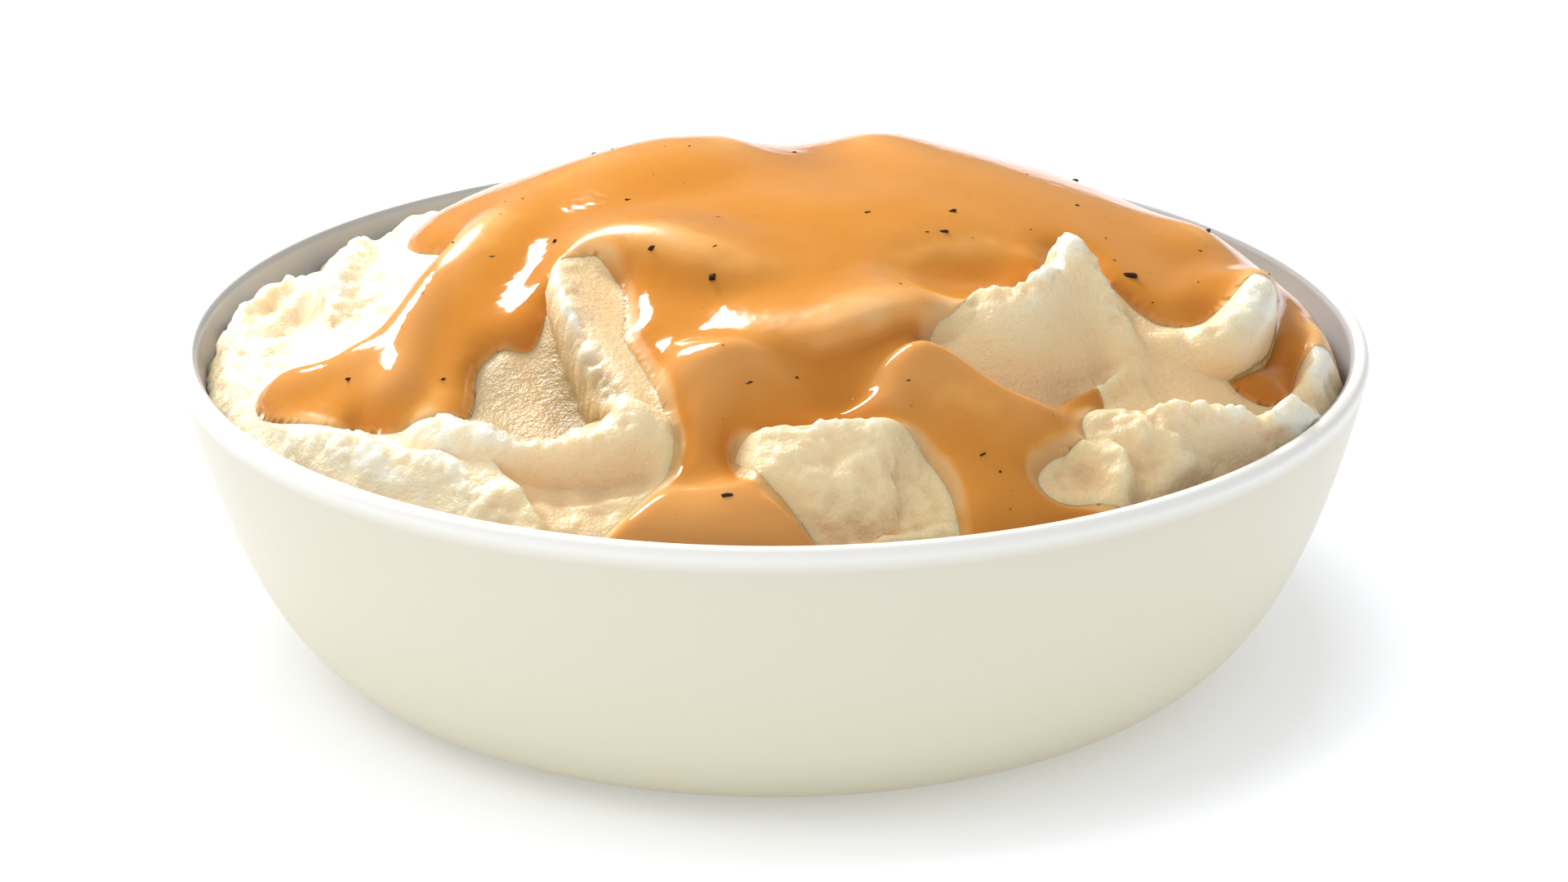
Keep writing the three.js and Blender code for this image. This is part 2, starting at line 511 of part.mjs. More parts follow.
// A flat, uneven flake, half sunk in the gravy.
function flakeSolid([x, y, size, turn]) {
  const radius = FLAKE_SIZE / 2 * (0.55 + 0.45 * size);
  const geometry = new THREE.IcosahedronGeometry(radius, 0);
  geometry.scale(1, 0.62, FLAKE_FLATNESS);
  geometry.rotateZ(THREE.MathUtils.degToRad(turn));
  geometry.translate(x, y, gravyHeight(x, y) + FLAKE_RAISE);
  return toSolid(geometry);
}

function gravyGeometry() {
  const sheet = bodyUnder(topRings(gravyHeight), SHEET_BOTTOM).subtract(mashCutter());
  const whole = FLAKES.map(flakeSolid).reduce((sum, flake) => sum.add(flake), sheet);
  const bodies = whole.decompose().sort((a, b) => b.volume() - a.volume());
  return toGeometry(bodies[0]);
}

// ---- the part
function namedMesh(name, geometry, color, roughness) {
  const mesh = new THREE.Mesh(geometry, new THREE.MeshStandardMaterial({ color, roughness, metalness: 0 }));
  mesh.name = name;
  return mesh;
}

const side = new THREE.Group();
side.add(namedMesh("bowl", bowlGeometry(), 0xe6e0cf, 0.3));
side.add(namedMesh("mash", mashGeometry(), 0xf3e7c6, 0.6));
side.add(namedMesh("gravy", gravyGeometry(), 0xd9933f, 0.15));

export default side;
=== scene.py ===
# %% [markdown]
# # A side of mashed potato with gravy
# A shallow ivory bowl is heaped with mash. Thick gravy has run over the heap and carries cracked pepper.
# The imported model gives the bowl, the mash and the gravy as faceted solids. Each of them gets a fine
# surface here, at the same size and in the same place.

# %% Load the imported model
import math
import bpy
import numpy as np
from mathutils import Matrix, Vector


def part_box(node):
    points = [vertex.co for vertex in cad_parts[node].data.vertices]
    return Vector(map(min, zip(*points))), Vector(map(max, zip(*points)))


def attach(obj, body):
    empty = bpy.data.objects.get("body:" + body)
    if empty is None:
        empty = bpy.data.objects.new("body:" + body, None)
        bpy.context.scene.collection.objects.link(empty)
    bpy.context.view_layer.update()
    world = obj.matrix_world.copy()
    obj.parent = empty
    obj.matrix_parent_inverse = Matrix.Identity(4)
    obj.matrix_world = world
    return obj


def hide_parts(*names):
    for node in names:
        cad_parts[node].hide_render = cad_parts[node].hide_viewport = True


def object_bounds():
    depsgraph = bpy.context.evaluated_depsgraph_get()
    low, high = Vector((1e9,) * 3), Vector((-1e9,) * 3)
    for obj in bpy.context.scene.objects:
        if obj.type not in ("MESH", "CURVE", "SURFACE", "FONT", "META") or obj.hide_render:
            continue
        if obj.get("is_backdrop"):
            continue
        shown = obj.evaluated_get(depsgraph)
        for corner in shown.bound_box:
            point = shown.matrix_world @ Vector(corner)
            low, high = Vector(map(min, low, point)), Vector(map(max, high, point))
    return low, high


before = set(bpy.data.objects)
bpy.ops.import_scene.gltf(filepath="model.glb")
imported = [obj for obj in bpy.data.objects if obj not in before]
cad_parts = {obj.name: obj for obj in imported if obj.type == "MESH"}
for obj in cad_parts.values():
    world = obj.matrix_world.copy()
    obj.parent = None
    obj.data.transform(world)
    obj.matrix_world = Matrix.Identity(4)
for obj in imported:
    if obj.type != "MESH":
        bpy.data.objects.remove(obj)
packed_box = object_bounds()
MM = 0.001
print("packed nodes:", sorted(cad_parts))

# %% [markdown]
# Operators act on everything that is selected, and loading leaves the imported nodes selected. So each
# piece starts from an empty selection. These small helpers keep that in one place.

# %% Helpers for selecting and for reading vertices
def deselect_all():
    bpy.ops.object.select_all(action="DESELECT")


def pick(piece):
    deselect_all()
    piece.select_set(True)
    bpy.context.view_layer.objects.active = piece


def places_of(piece):
    flat = np.empty(len(piece.data.vertices) * 3)
    piece.data.vertices.foreach_get("co", flat)
    return flat.reshape(-1, 3)


def move_vertices(piece, places):
    piece.data.vertices.foreach_set("co", places.astype(np.float32).ravel())
    piece.data.update()


def apply_modifiers(piece):
    pick(piece)
    for modifier in list(piece.modifiers):
        bpy.ops.object.modifier_apply(modifier=modifier.name)


deselect_all()

# %% [markdown]
# ## The camera
# A long lens, a little above the rim, sees the bowl as a wide ellipse with the heap above it. It is made
# first.

# %% Camera
CAMERA_ELEVATION = math.radians(20.5)
CAMERA_DISTANCE = 0.5632
CAMERA_TARGET = Vector((0.0011, 0.0, 0.02266))
CAMERA_LENS = 116.9

bpy.ops.object.camera_add()
camera = bpy.context.object
camera.name = "camera"
backwards = Vector((0, -math.cos(CAMERA_ELEVATION), math.sin(CAMERA_ELEVATION)))
camera.location = CAMERA_TARGET + backwards * CAMERA_DISTANCE
camera.rotation_euler = (-backwards).to_track_quat("-Z", "Y").to_euler()
camera.data.lens = CAMERA_LENS
camera.data.sensor_width = 36
camera.data.clip_start = 0.01
bpy.context.scene.camera = camera
print("camera at", [round(v, 3) for v in camera.location])

# %% [markdown]
# ## The bowl
# The real bowl is stoneware, thrown or pressed: a wide foot, a wall that curves up and then runs nearly
# straight, and a rounded lip about 2 mm thick. A cross-section turned round the axis makes such a shape.
# The section follows the same curve as the solid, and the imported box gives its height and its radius.

# %% The wall's curve
low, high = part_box("bowl")
RIM_RADIUS = (high[0] - low[0]) / 2 / MM
BOWL_HEIGHT = (high[2] - low[2]) / MM
FOOT_RADIUS = 44.3
FOOT_WIDTH = 4.5
FOOT_DEPTH = 1.2
WALL = 2.1
FLOOR = 3.4
LIP_DROP = 1.5


def wall_curve(inset, steps):
    """The wall's line in mm, as (radius, height) from bottom to top, moved inwards by a distance."""
    corners = np.array([(FOOT_RADIUS, 0), (52, 2), (59, 8), (RIM_RADIUS, BOWL_HEIGHT - LIP_DROP)])
    t = np.linspace(0, 1, steps)[:, None]
    shares = ((1 - t) ** 3, 3 * (1 - t) ** 2 * t, 3 * (1 - t) * t ** 2, t ** 3)
    line = sum(share * corner for share, corner in zip(shares, corners))
    steps_along = np.gradient(line, axis=0)
    along = steps_along / np.linalg.norm(steps_along, axis=1, keepdims=True)
    return line + inset * np.column_stack([-along[:, 1], along[:, 0]])


INNER_WALL = wall_curve(WALL, 200)


def inner_radius(height):
    return np.interp(height, INNER_WALL[:, 1], INNER_WALL[:, 0])


print(f"bowl {2 * RIM_RADIUS:.1f} mm over the rim, {BOWL_HEIGHT:.1f} mm high")

# %% [markdown]
# The section is a chain of points: along the underside, up the outside, over the lip, down the inside and
# across the floor. A faint rounded dent under the lip, where the glaze has drawn back, is part of it.

# %% The section's points
WALL_STEPS = 22
LIP_STEPS = 13
DENT_DEPTH = 0.12
DENT_HEIGHT = 32.2
DENT_WIDTH = 0.9


def lip_section():
    """Points round the lip, from the outside over the top to the inside."""
    middle = RIM_RADIUS - WALL / 2
    turns = np.radians(np.linspace(-10, 190, LIP_STEPS))
    half = WALL / 2 + 0.02
    return [(middle + half * math.cos(a), BOWL_HEIGHT - half + half * math.sin(a)) for a in turns]


def bowl_section():
    outside = []
    for radius, height in wall_curve(0, WALL_STEPS)[:-1]:
        dent = DENT_DEPTH * math.exp(-((height - DENT_HEIGHT) / DENT_WIDTH) ** 2)
        outside.append((radius - dent, height))
    inside = [tuple(point) for point in wall_curve(WALL, WALL_STEPS)[::-1][1:] if point[1] > FLOOR + 0.8]
    foot = FOOT_RADIUS - FOOT_WIDTH
    underside = [(0, FOOT_DEPTH), (foot - 2.4, FOOT_DEPTH), (foot - 0.8, 0.6), (foot, 0.05), (foot + 0.8, 0)]
    floor = [(inner_radius(FLOOR) - 1.6, FLOOR), (20, FLOOR), (0, FLOOR)]
    return underside + outside + lip_section() + inside + floor


section = bowl_section()
print("bowl section of", len(section), "points")

# %% [markdown]
# The chain is drawn as by hand: a plane is merged to one vertex, which is moved to the first point and
# extruded from point to point, as with E in edit mode. Then the chain is spun round the axis.

# %% Draw the section and spin it
SPIN_STEPS = 144
bpy.ops.mesh.primitive_plane_add(size=0.01)
bowl = bpy.context.object
bowl.name = "glazed_bowl"
bpy.ops.object.mode_set(mode="EDIT")
bpy.ops.mesh.select_all(action="SELECT")
bpy.ops.mesh.merge(type="CENTER")
bpy.ops.transform.translate(value=(section[0][0] * MM, 0, section[0][1] * MM))
for before, after in zip(section, section[1:]):
    step = ((after[0] - before[0]) * MM, 0, (after[1] - before[1]) * MM)
    bpy.ops.mesh.extrude_region_move(TRANSFORM_OT_translate={"value": step})
bpy.ops.mesh.select_all(action="SELECT")
bpy.ops.mesh.spin(steps=SPIN_STEPS, angle=2 * math.pi, center=(0, 0, 0), axis=(0, 0, 1))
bpy.ops.mesh.select_all(action="SELECT")
bpy.ops.mesh.remove_doubles(threshold=1e-6)
bpy.ops.mesh.normals_make_consistent(inside=False)
bpy.ops.object.mode_set(mode="OBJECT")
bpy.ops.object.shade_smooth()
print("bowl:", len(bowl.data.polygons), "faces")

# %% [markdown]
# ## The heap's form
# A cook heaps the mash and then pulls a spoon through it. Each pull leaves a smooth dish and throws up a
# lip beside it. So the heap is worked out as one low dome, plus a set of strokes: ridges that add to the
# height and dishes that take from it. Each stroke is a short smooth line in plan with a height at each
# point, in millimetres, and a width to either side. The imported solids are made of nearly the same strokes,
# so the fine surfaces lie close to them.

# %% Smooth lines and how near they are
def smooth_line(points, steps=5, closed=False):
    """A smooth curve through the points, as rows of x, y and value."""
    points = np.array(points, float)
    if points.shape[1] == 2:
        points = np.column_stack([points, np.zeros(len(points))])
    if closed:
        around = np.vstack([points[-1:], points, points[:2]])
    else:
        around = np.vstack([2 * points[0] - points[1], points, 2 * points[-1] - points[-2]])
    t = np.linspace(0, 1, steps, endpoint=False)[:, None]
    pieces = []
    for a, b, c, d in zip(around, around[1:], around[2:], around[3:]):
        pieces.append(0.5 * (2 * b + (c - a) * t + (2 * a - 5 * b + 4 * c - d) * t ** 2
                             + (3 * b - a - 3 * c + d) * t ** 3))
    pieces.append(points[:1] if closed else points[-1:])
    return np.vstack(pieces)


def nearest_on(line, x, y):
    """The distance to a line, the side of it, the line's value there and the way to its right-hand side."""
    distance = np.full(x.shape, 1e9)
    side = np.ones(x.shape)
    value = np.zeros(x.shape)
    right_x = np.zeros(x.shape)
    right_y = np.zeros(x.shape)
    for a, b in zip(line, line[1:]):
        dx, dy = b[0] - a[0], b[1] - a[1]
        t = np.clip(((x - a[0]) * dx + (y - a[1]) * dy) / (dx * dx + dy * dy + 1e-12), 0, 1)
        ex, ey = x - a[0] - t * dx, y - a[1] - t * dy
        here = np.hypot(ex, ey)
        nearer = here < distance
        distance[nearer] = here[nearer]
        side[nearer] = np.sign(dx * ey - dy * ex)[nearer]
        value[nearer] = (a[2] + t * (b[2] - a[2]))[nearer]
        right_x[nearer] = dy / (math.hypot(dx, dy) + 1e-12)
        right_y[nearer] = -dx / (math.hypot(dx, dy) + 1e-12)
    return distance, side, value, right_x, right_y


print("points on a line through two points:", len(smooth_line([(0, 0, 0), (10, 0, 1)])))

# %% [markdown]
# From its line to its sides a stroke falls to nothing. A plain side is rounded, as where mash has slumped.
# A crisp side falls at once, as where it tore, and a rolled side bulges first, as where it was pushed over.
# A smoothed stroke is wider and lower, which is how the gravy, and the colours, see the heap.

# %% A stroke's cross-section and its height
def cross_section(s, crisp, roll=0.0):
    """1 on the stroke's line and 0 from s = 1 on. A crisp side falls at once, a rolled one bulges first."""
    edge = 0.12
    rounded = (1 - s * s) ** 2
    sharp = (np.sqrt(s * s + edge * edge) - edge) / (math.sqrt(1 + edge * edge) - edge)
    plain = rounded * (1 - crisp) + np.maximum(1 - sharp, 0) ** 1.6 * crisp
    return plain * (1 - roll) + (1 - s ** 2.6) ** 1.3 * roll


def stroke_height(x, y, behind, front, crisp, roll, points, smoothing=0.0):
    """What one stroke adds at each place. Smoothing makes it wider and lower."""
    line = smooth_line(points)
    reach = max(behind, front) + smoothing
    lowest, highest = line[:, :2].min(axis=0) - reach, line[:, :2].max(axis=0) + reach
    close = (x > lowest[0]) & (x < highest[0]) & (y > lowest[1]) & (y < highest[1])
    result = np.zeros(x.shape)
    distance, side, value = nearest_on(line, x[close], y[close])[:3]
    width = np.where(side > 0, behind, front) + smoothing
    gain = (behind + front) / (behind + front + 2 * smoothing)
    s = np.minimum(distance / width, 1)
    if smoothing:
        result[close] = value * gain * cross_section(s, 0)
    else:
        result[close] = value * cross_section(s, crisp, np.where(side > 0, 0, roll))
    return result


print("half-way down a plain side:", cross_section(np.array([0.5]), 0)[0])

# %% [markdown]
# The ridges: the lips in front and to the right, the ridge that crosses the left dish, the tongue that
# hangs over the right dish, and the low waves under the gravy. Behind is the left-hand side as the line
# is travelled, so a narrow front side makes a steep face.

# %% Ridges, as (behind, front, crisp, roll, points of x, y, height)
RIDGES = {
    "left front lip": (3, 3.2, 0.8, 0.9, [
        (-37.5, -38, 0.3), (-34, -40.8, 2.2), (-30.5, -43, 3.1), (-26.6, -45.2, 3.2), (-21.3, -47.2, 2.2),
        (-17.6, -47.8, 2.2), (-14.4, -48, 1.4), (-12, -47.8, 0.4)]),
    "joining shoulder": (3.6, 4, 0, 0.7, [(-17.6, -43.6, 1.6), (-14.2, -46, 3), (-11.6, -47.4, 1.8)]),
    "cross ridge": (6, 1.4, 0.8, 0.3, [
        (-17.5, -13.5, 0.6), (-20.4, -18.6, 2.4), (-21.8, -22.5, 3.4), (-21.6, -26, 3.6),
        (-20.8, -30, 3.4), (-19.6, -34, 3.1), (-18, -38.4, 2.9), (-16.8, -41.2, 2.6),
        (-15.6, -43.6, 2), (-14.8, -45.4, 1)]),
    "left shoulder": (5, 7, 0, 0, [
        (-39.5, -30, 0.6), (-38, -23, 1.8), (-35.5, -15, 2.6), (-31.5, -7, 2.8), (-28, 1, 1.6)]),
    "fold": (1.2, 6, 0.3, 0, [
        (-30.5, -43.8, 0.6), (-29.1, -46, 1.4), (-27.9, -48.6, 1.8), (-25.7, -52, 1.8), (-23.4, -56, 1.2)]),
    "middle lip": (3, 9, 0.8, 0.7, [
        (-3.8, -48, 0.3), (-1.2, -49, 2.2), (2.3, -50.2, 3.5), (6, -50.2, 3.9),
        (9.3, -49.4, 3.8), (12.6, -48.8, 3), (15.6, -49.6, 0.4)]),
    "low front ridge": (1.4, 1.8, 0.8, 0, [
        (3, -60.2, 0.3), (7, -59.6, 1), (13, -58.6, 1.1), (18, -57.4, 0.5)]),
    "right lip": (3, 9, 0.7, 0.5, [
        (17, -30.6, 0.8), (20.7, -28.6, 3.2), (24.3, -28, 4), (26.6, -26.4, 4.6), (28, -23, 5),
        (29.4, -19.8, 3.6)]),
    "right lip's side": (2.2, 9, 0.6, 0.4, [
        (27.6, -18.4, 1.6), (29.4, -17.6, 4.2), (31.4, -17.4, 5.6), (33.4, -19, 5.2),
        (35.4, -21.8, 3.8), (37, -24.6, 2.2), (38, -27.4, 0.5)]),
    "right crease": (1.8, 2, 0.9, 0, [
        (29, -39, 0.7), (32.4, -35.4, 1.7), (35.2, -31.6, 1.7), (37, -28.4, 0.7)]),
    "right front lip": (3, 6, 0.8, 0.5, [
        (30.6, -41, 0.4), (33.7, -39.6, 1.6), (37.2, -39.2, 2.8), (42, -37, 4), (46.6, -34.9, 4),
        (50.8, -32, 3.4), (54, -29.4, 3.4), (57.7, -25.6, 3), (60, -21.5, 0.8)]),
    "edge knob": (3.2, 3.2, 0.1, 0.8, [
        (52.2, -30.4, 4.2), (53.6, -29.2, 6.2), (55.4, -27.6, 6.2), (57, -25.6, 4.6)]),
    "right slab": (1.1, 5, 0.3, 0, [
        (42, -38.6, 0.8), (43.4, -40.4, 2), (42, -42.8, 2.2), (39.8, -45.6, 1)]),
    "right lump by the stream": (2.4, 2.4, 0, 0.3, [(29.5, -44, 0.8), (32, -45, 1.7), (35.4, -45, 1.2)]),
    "tongue": (3, 4, 0.4, 1, [
        (43, -20.2, 0.8), (45, -19.4, 2.4), (46.8, -17.6, 3.4), (48.4, -14, 4.4), (49.6, -9.6, 5),
        (50.2, -4.6, 4), (51.4, 0, 2.2), (53, 4, 0.8)]),
    "right edge ridge": (5, 2.6, 0.3, 0.3, [
        (57.4, -23, 2.4), (58.6, -16, 4), (59.6, -9, 3.6), (59, -2, 1.4)]),
    "left edge ridge": (3, 3, 0.7, 0, [
        (-58, -9, 0.4), (-59.5, -1, 2), (-58, 5, 1.8), (-54, 6, 1.8), (-51, 0, 1)]),
    "left ridge": (3.4, 4.4, 0.6, 0, [(-42, 24, 0.4), (-46, 14, 1.6), (-47.5, 2, 2.4), (-47.5, -9, 1.8)]),
    "left front ridge": (3, 4.4, 0.6, 0.3, [
        (-53, -28, 0.5), (-46, -36, 2), (-39, -43, 2.2), (-33, -46, 1.4)]),
    "left low ridge": (2.6, 3.4, 0.7, 0, [(-36, -43.5, 0.5), (-31.5, -48.5, 1.8), (-28, -54, 1.2)]),
    "top left hump": (13, 12, 0, 0, [(-26, 4, 1.8), (-14, 8, 2.8), (-6, 12, 2)]),
    "top right hump": (11, 11, 0, 0, [
        (12, 16, 1.6), (18, 12, 1), (30, 6, 0.6), (40, 7, 1), (47, 7, 3)]),
    "left wave": (6, 5, 0.4, 0.6, [
        (-19, -14.5, 1.6), (-15.8, -17, 3.2), (-11.5, -19.6, 3.7), (-7.2, -22.6, 3.3), (-3, -24.4, 2.3),
        (2, -25.5, 0.8)]),
    "middle bump": (8, 4, 0.1, 0.9, [
        (-8, -34.8, 0.6), (-2.6, -36, 1.7), (3, -36.4, 2.8), (7.8, -35.2, 3.8), (12.8, -32.2, 3.5),
        (17, -29.6, 1.8)]),
    "middle lump": (4.4, 4.4, 0.1, 0.3, [(-8.6, -41.6, 2), (-4, -41.4, 2.8), (0.6, -43, 2)]),
    "right lump": (5, 7, 0.1, 0, [(11, -45.6, 1.2), (13, -42, 2.8), (19, -42, 3.2), (25, -43.5, 2)]),
    "back lip": (5, 3.5, 0.7, 0, [(-17, 47, 0.8), (-6, 50.5, 1.6), (6, 49.5, 1.8), (16, 45, 1)]),
    "back left ridge": (5, 4, 0.6, 0, [(-48, 28, 0.3), (-40, 36, 0.6), (-29, 43, 0.8), (-21, 45, 0.4)]),
    "back right ridge": (5, 4, 0.5, 0, [(22, 47, 0.6), (33, 41.5, 1.1), (43, 34, 1.2), (52, 25, 0.6)]),
    "right flap": (1.1, 4.5, 0.3, 0, [
        (34, -42.4, 0.8), (35.4, -45, 2.2), (35.8, -48, 2.4), (34.8, -51, 1.4)]),
}
print(len(RIDGES), "ridges")

# %% [markdown]
# The dishes: where the spoon went, and the feet of the lips, where the face turns out again.

# %% Dishes, as (width, points of x, y, depth)
DISHES = {
    "left dish": (8, [(-30.6, -29, 1.4), (-27.6, -35, 3.2), (-23.4, -41, 3.8)]),
    "above the left dish": (6, [(-30.6, -25, 1.6), (-28, -19, 1.6), (-25, -12, 0.8)]),
    "middle dish": (5, [(-1, -45.4, 2.6), (4, -45.6, 4), (11, -44.4, 3.4)]),
    "under the middle bump": (3.6, [(-1, -39.6, 1.2), (4, -41.6, 2.6), (9.4, -40, 2.4), (14, -36.6, 1.4)]),
    "middle valley": (6.5, [(-11, -28, 0.6), (-8.6, -33, 0.7), (-7.6, -38, 0.5)]),
    "pit behind the right lip": (6, [(18.5, -23.5, 3.6), (24.5, -19.5, 4.4)]),
    "right dish": (8, [(38, -31, 1.3), (45, -28.4, 1.5), (51.6, -25, 1.8)]),
    "beside the tongue": (3.6, [(49.6, -22.4, 1.4), (53.6, -17.6, 3.4), (55, -9, 3), (55.6, -2, 1.6)]),
    "saddle": (9, [(-1, 36, 1.7), (0, 24, 2.2), (3, 12, 2.4), (5, 2, 1)]),
    "left pit": (4, [(-53, -3, 3), (-51, -7, 1.4)]),
    "back left pit": (4, [(-52, 12, 2.2), (-49, 8, 1.4)]),
    "front neck": (5, [(-6.4, -46.6, 2.4), (-6.2, -50, 4), (-6, -53.6, 4.4), (-6, -56, 1.6)]),
    "foot of the left lip": (3, [
        (-28.6, -47.6, 0.3), (-25.8, -49.4, 0.8), (-21.3, -51, 1.2), (-17.3, -51.6, 1.4), (-13, -51.2, 1.4),
        (-9.8, -49.8, 0.8)]),
    "foot of the middle lip": (4, [(0, -58, 1.2), (6, -59.4, 1.8), (13, -58.8, 1.4)]),
    "foot of the right lip": (6, [(19.5, -38.5, 1.2), (27.5, -36.5, 2.6), (34, -30.5, 2.2)]),
    "right front foot": (4, [(45.4, -43.4, 1.6), (49, -39.6, 1.6), (53, -34, 1)]),
    "left hollow": (15, [(-26, 26, 1), (-38, 26, 2.6), (-46, 24, 2.8)]),
    "right hollow": (9, [(38, 32, 1.6), (57, 17, 2.8)]),
    "back dish": (7, [(-10, 44, 1.6), (2, 44.5, 2.2), (12, 41, 1.6)]),
    "back left dish": (6.5, [(-44, 33, 1.5), (-39, 37, 1.6), (-33, 38.5, 1.8)]),
    "back right dish": (6, [(30, 35.5, 1.8), (38, 31, 1.6)]),
    "under the cross ridge": (4.4, [
        (-27, -24, 1), (-25.4, -29, 2), (-23.2, -34, 3), (-20.4, -39, 3.6), (-18, -42.6, 2.4)]),
    "right shoulder": (4, [(42, 13, 0.6), (48, 10, 0.5), (54, 6.4, 1.4), (57, 3, 0.5)]),
    "olive pit": (2.8, [(29.8, -37.4, 1.8), (32.2, -35.4, 2.4)]),
}
print(len(DISHES), "dishes")

# %% [markdown]
# The dome stands at 33 mm at the wall and rises 19.5 mm to its top, which lies a little to the right. Where
# the heap meets the wall it rolls down, more at the back than in front. Where strokes cross, their cubes
# are added and the cube root is taken, which is close to the larger of them and has no edge.

# %% The mash's height
EDGE_HEIGHT = 33.0
DOME_RISE = 19.5
DOME_RADIUS = 62.5
DOME_SHIFT = (3.0, -2.0)
EDGE_ROLL_WIDTH = 4.5
EDGE_ROLL_FRONT = 1.0
EDGE_ROLL_BACK = 2.6


def dome_height(x, y):
    r = np.hypot(x, y) / DOME_RADIUS
    shifted = np.hypot(x - DOME_SHIFT[0] * (1 - r), y - DOME_SHIFT[1] * (1 - r)) / DOME_RADIUS
    return EDGE_HEIGHT + DOME_RISE * np.maximum(0, 1 - shifted ** 2)


def edge_roll(x, y):
    from_wall = inner_radius(EDGE_HEIGHT) - np.hypot(x, y)
    s = np.clip(1 - from_wall / EDGE_ROLL_WIDTH, 0, 1.2)
    back = np.clip((y + DOME_RADIUS) / 40, 0, 1)
    return s * s * (EDGE_ROLL_FRONT + (EDGE_ROLL_BACK - EDGE_ROLL_FRONT) * back)


def mash_height(x, y, smoothing=0.0):
    raised = np.zeros(x.shape)
    lowered = np.zeros(x.shape)
    for behind, front, crisp, roll, points in RIDGES.values():
        raised += stroke_height(x, y, behind, front, crisp, roll, points, smoothing) ** 3
    for width, points in DISHES.values():
        lowered += stroke_height(x, y, width, width, 0, 0, points, smoothing) ** 3
    return dome_height(x, y) - edge_roll(x, y) + np.cbrt(raised) - np.cbrt(lowered)


top = mash_height(np.array([5.0]), np.array([0.0]))[0]
print(f"mash height near the middle: {top:.1f} mm")

# %% [markdown]
# The spoon also pushed some lips over, so that they hang above the dish in front of them. A height for
# each place can't do that. So these lips are moved over to their front, most just below the crest, and
# whatever lies on them moves with them.

# %% How far the lips lean, in mm
LEANS = {
    "left front lip": 0.8, "cross ridge": 0.9, "middle lip": 0.5, "right lip's side": 0.4,
    "right front lip": 0.4, "tongue": 2, "edge knob": 0.5, "left wave": 1, "middle bump": 1.4,
}
LEAN_FROM_WALL = 4.0


def leaning(x, y):
    """What leaning adds to x and to y at each place."""
    move = np.zeros((2,) + x.shape)
    for name, amount in LEANS.items():
        behind, front, crisp, roll, points = RIDGES[name]
        distance, side, value, right_x, right_y = nearest_on(smooth_line(points), x, y)
        s = np.minimum(distance / np.where(side > 0, behind, front), 1)
        profile = np.where(side > 0, (1 - s * s) ** 2, (1 - s) * (1 + 2.5 * s))
        weight = amount * np.clip(value / 3, 0, 1) * profile
        move += weight * np.stack([right_x, right_y])
    from_wall = inner_radius(EDGE_HEIGHT) - np.hypot(x, y)
    return move * np.clip(from_wall / LEAN_FROM_WALL, 0, 1)


print(len(LEANS), "lips lean, by up to", max(LEANS.values()), "mm")

# %% [markdown]
# ## The gravy's form
# Gravy levels itself: it fills the dishes and thins out over the crests, and it ends in a rounded edge.
# So its top is a smoothed copy of the heap, a little higher, but never lower than a thin film on the mash.
# Its edge is one closed smooth line in plan, given here stretch by stretch.

# %% The gravy's edge, in plan
GRAVY_EDGE = {
    "left lobe": [
        (-54.8, -22), (-52.6, -19.2), (-46.2, -22.3), (-42.8, -21.6), (-40.6, -17.4), (-38.8, -11.9),
        (-35.8, -8.3), (-35.6, -4.5), (-38.6, -0.5), (-40.4, 5)],
    "back": [
        (-39.6, 13), (-41, 22), (-40, 31), (-33, 39), (-22, 45), (-12, 48.5), (-2, 52), (7, 46), (13, 34),
        (22, 33), (31, 40), (39, 37), (44, 27), (51, 21), (57, 18), (62.5, 13), (65, 7)],
    "round the tongue": [
        (63, -1), (61.4, -7), (59.4, -11.6), (56.4, -13.4), (55.4, -16.6), (54.4, -20.4),
        (51.6, -22.8), (48.2, -22.4), (49.8, -19.6), (51.8, -16), (52.6, -12), (52.4, -8.4),
        (50.6, -7), (48.8, -9.4), (47.2, -12.6), (45.2, -16), (43, -18.4)],
    "round the right lip": [
        (40, -19), (35.6, -15.4), (33, -11), (29.8, -11), (28, -17), (26, -22.5), (23, -26),
        (19, -29.5), (15.8, -33.4)],
    "right stream": [
        (16.5, -36.2), (20, -38), (24, -40.4), (27.4, -39), (29.4, -36), (32.2, -33.8),
        (34, -35.4), (32.8, -38.4), (31.4, -41), (31.6, -44), (28.3, -47), (26.6, -49.5),
        (28.5, -51.4), (33, -50.6), (38, -51.5), (34, -58), (26, -63), (19, -63),
        (18.6, -57.4), (17.6, -53.4), (15.2, -50)],
    "middle lip": [(12, -48.2), (6, -48.8), (0, -48.8), (-3.6, -48.6)],
    "middle stream and front pool": [
        (-3.2, -51), (-1.3, -54.2), (1.5, -56.6), (4.6, -59.4), (6, -64), (-8, -67), (-20, -63),
        (-18, -59), (-13.8, -55.6), (-11.2, -52.4), (-9.8, -48.6)],
    "over the cross ridge": [
        (-10.8, -45), (-12.3, -40.2), (-13.8, -36.6), (-15.2, -33), (-15.4, -29), (-15.8, -24),
        (-18, -19), (-21, -21.2), (-23.4, -24), (-24.2, -27)],
    "round the left dish": [
        (-25.4, -28.6), (-28.2, -28), (-30.6, -30), (-30.8, -34.4), (-31.4, -37.4), (-34.4, -38.4),
        (-38.4, -38.4), (-41, -37), (-43, -35.4), (-45.4, -35.4), (-49.6, -31.6), (-53, -27)],
}
edge_line = smooth_line(sum(GRAVY_EDGE.values(), []), 4, closed=True)
print("gravy's edge:", len(edge_line), "points")

# %% [markdown]
# How far a place lies inside that edge decides how thick the gravy is there. To the left, at the back and
# round the lips on the right it ends in a thick rounded edge. In the middle of the front it fades out.

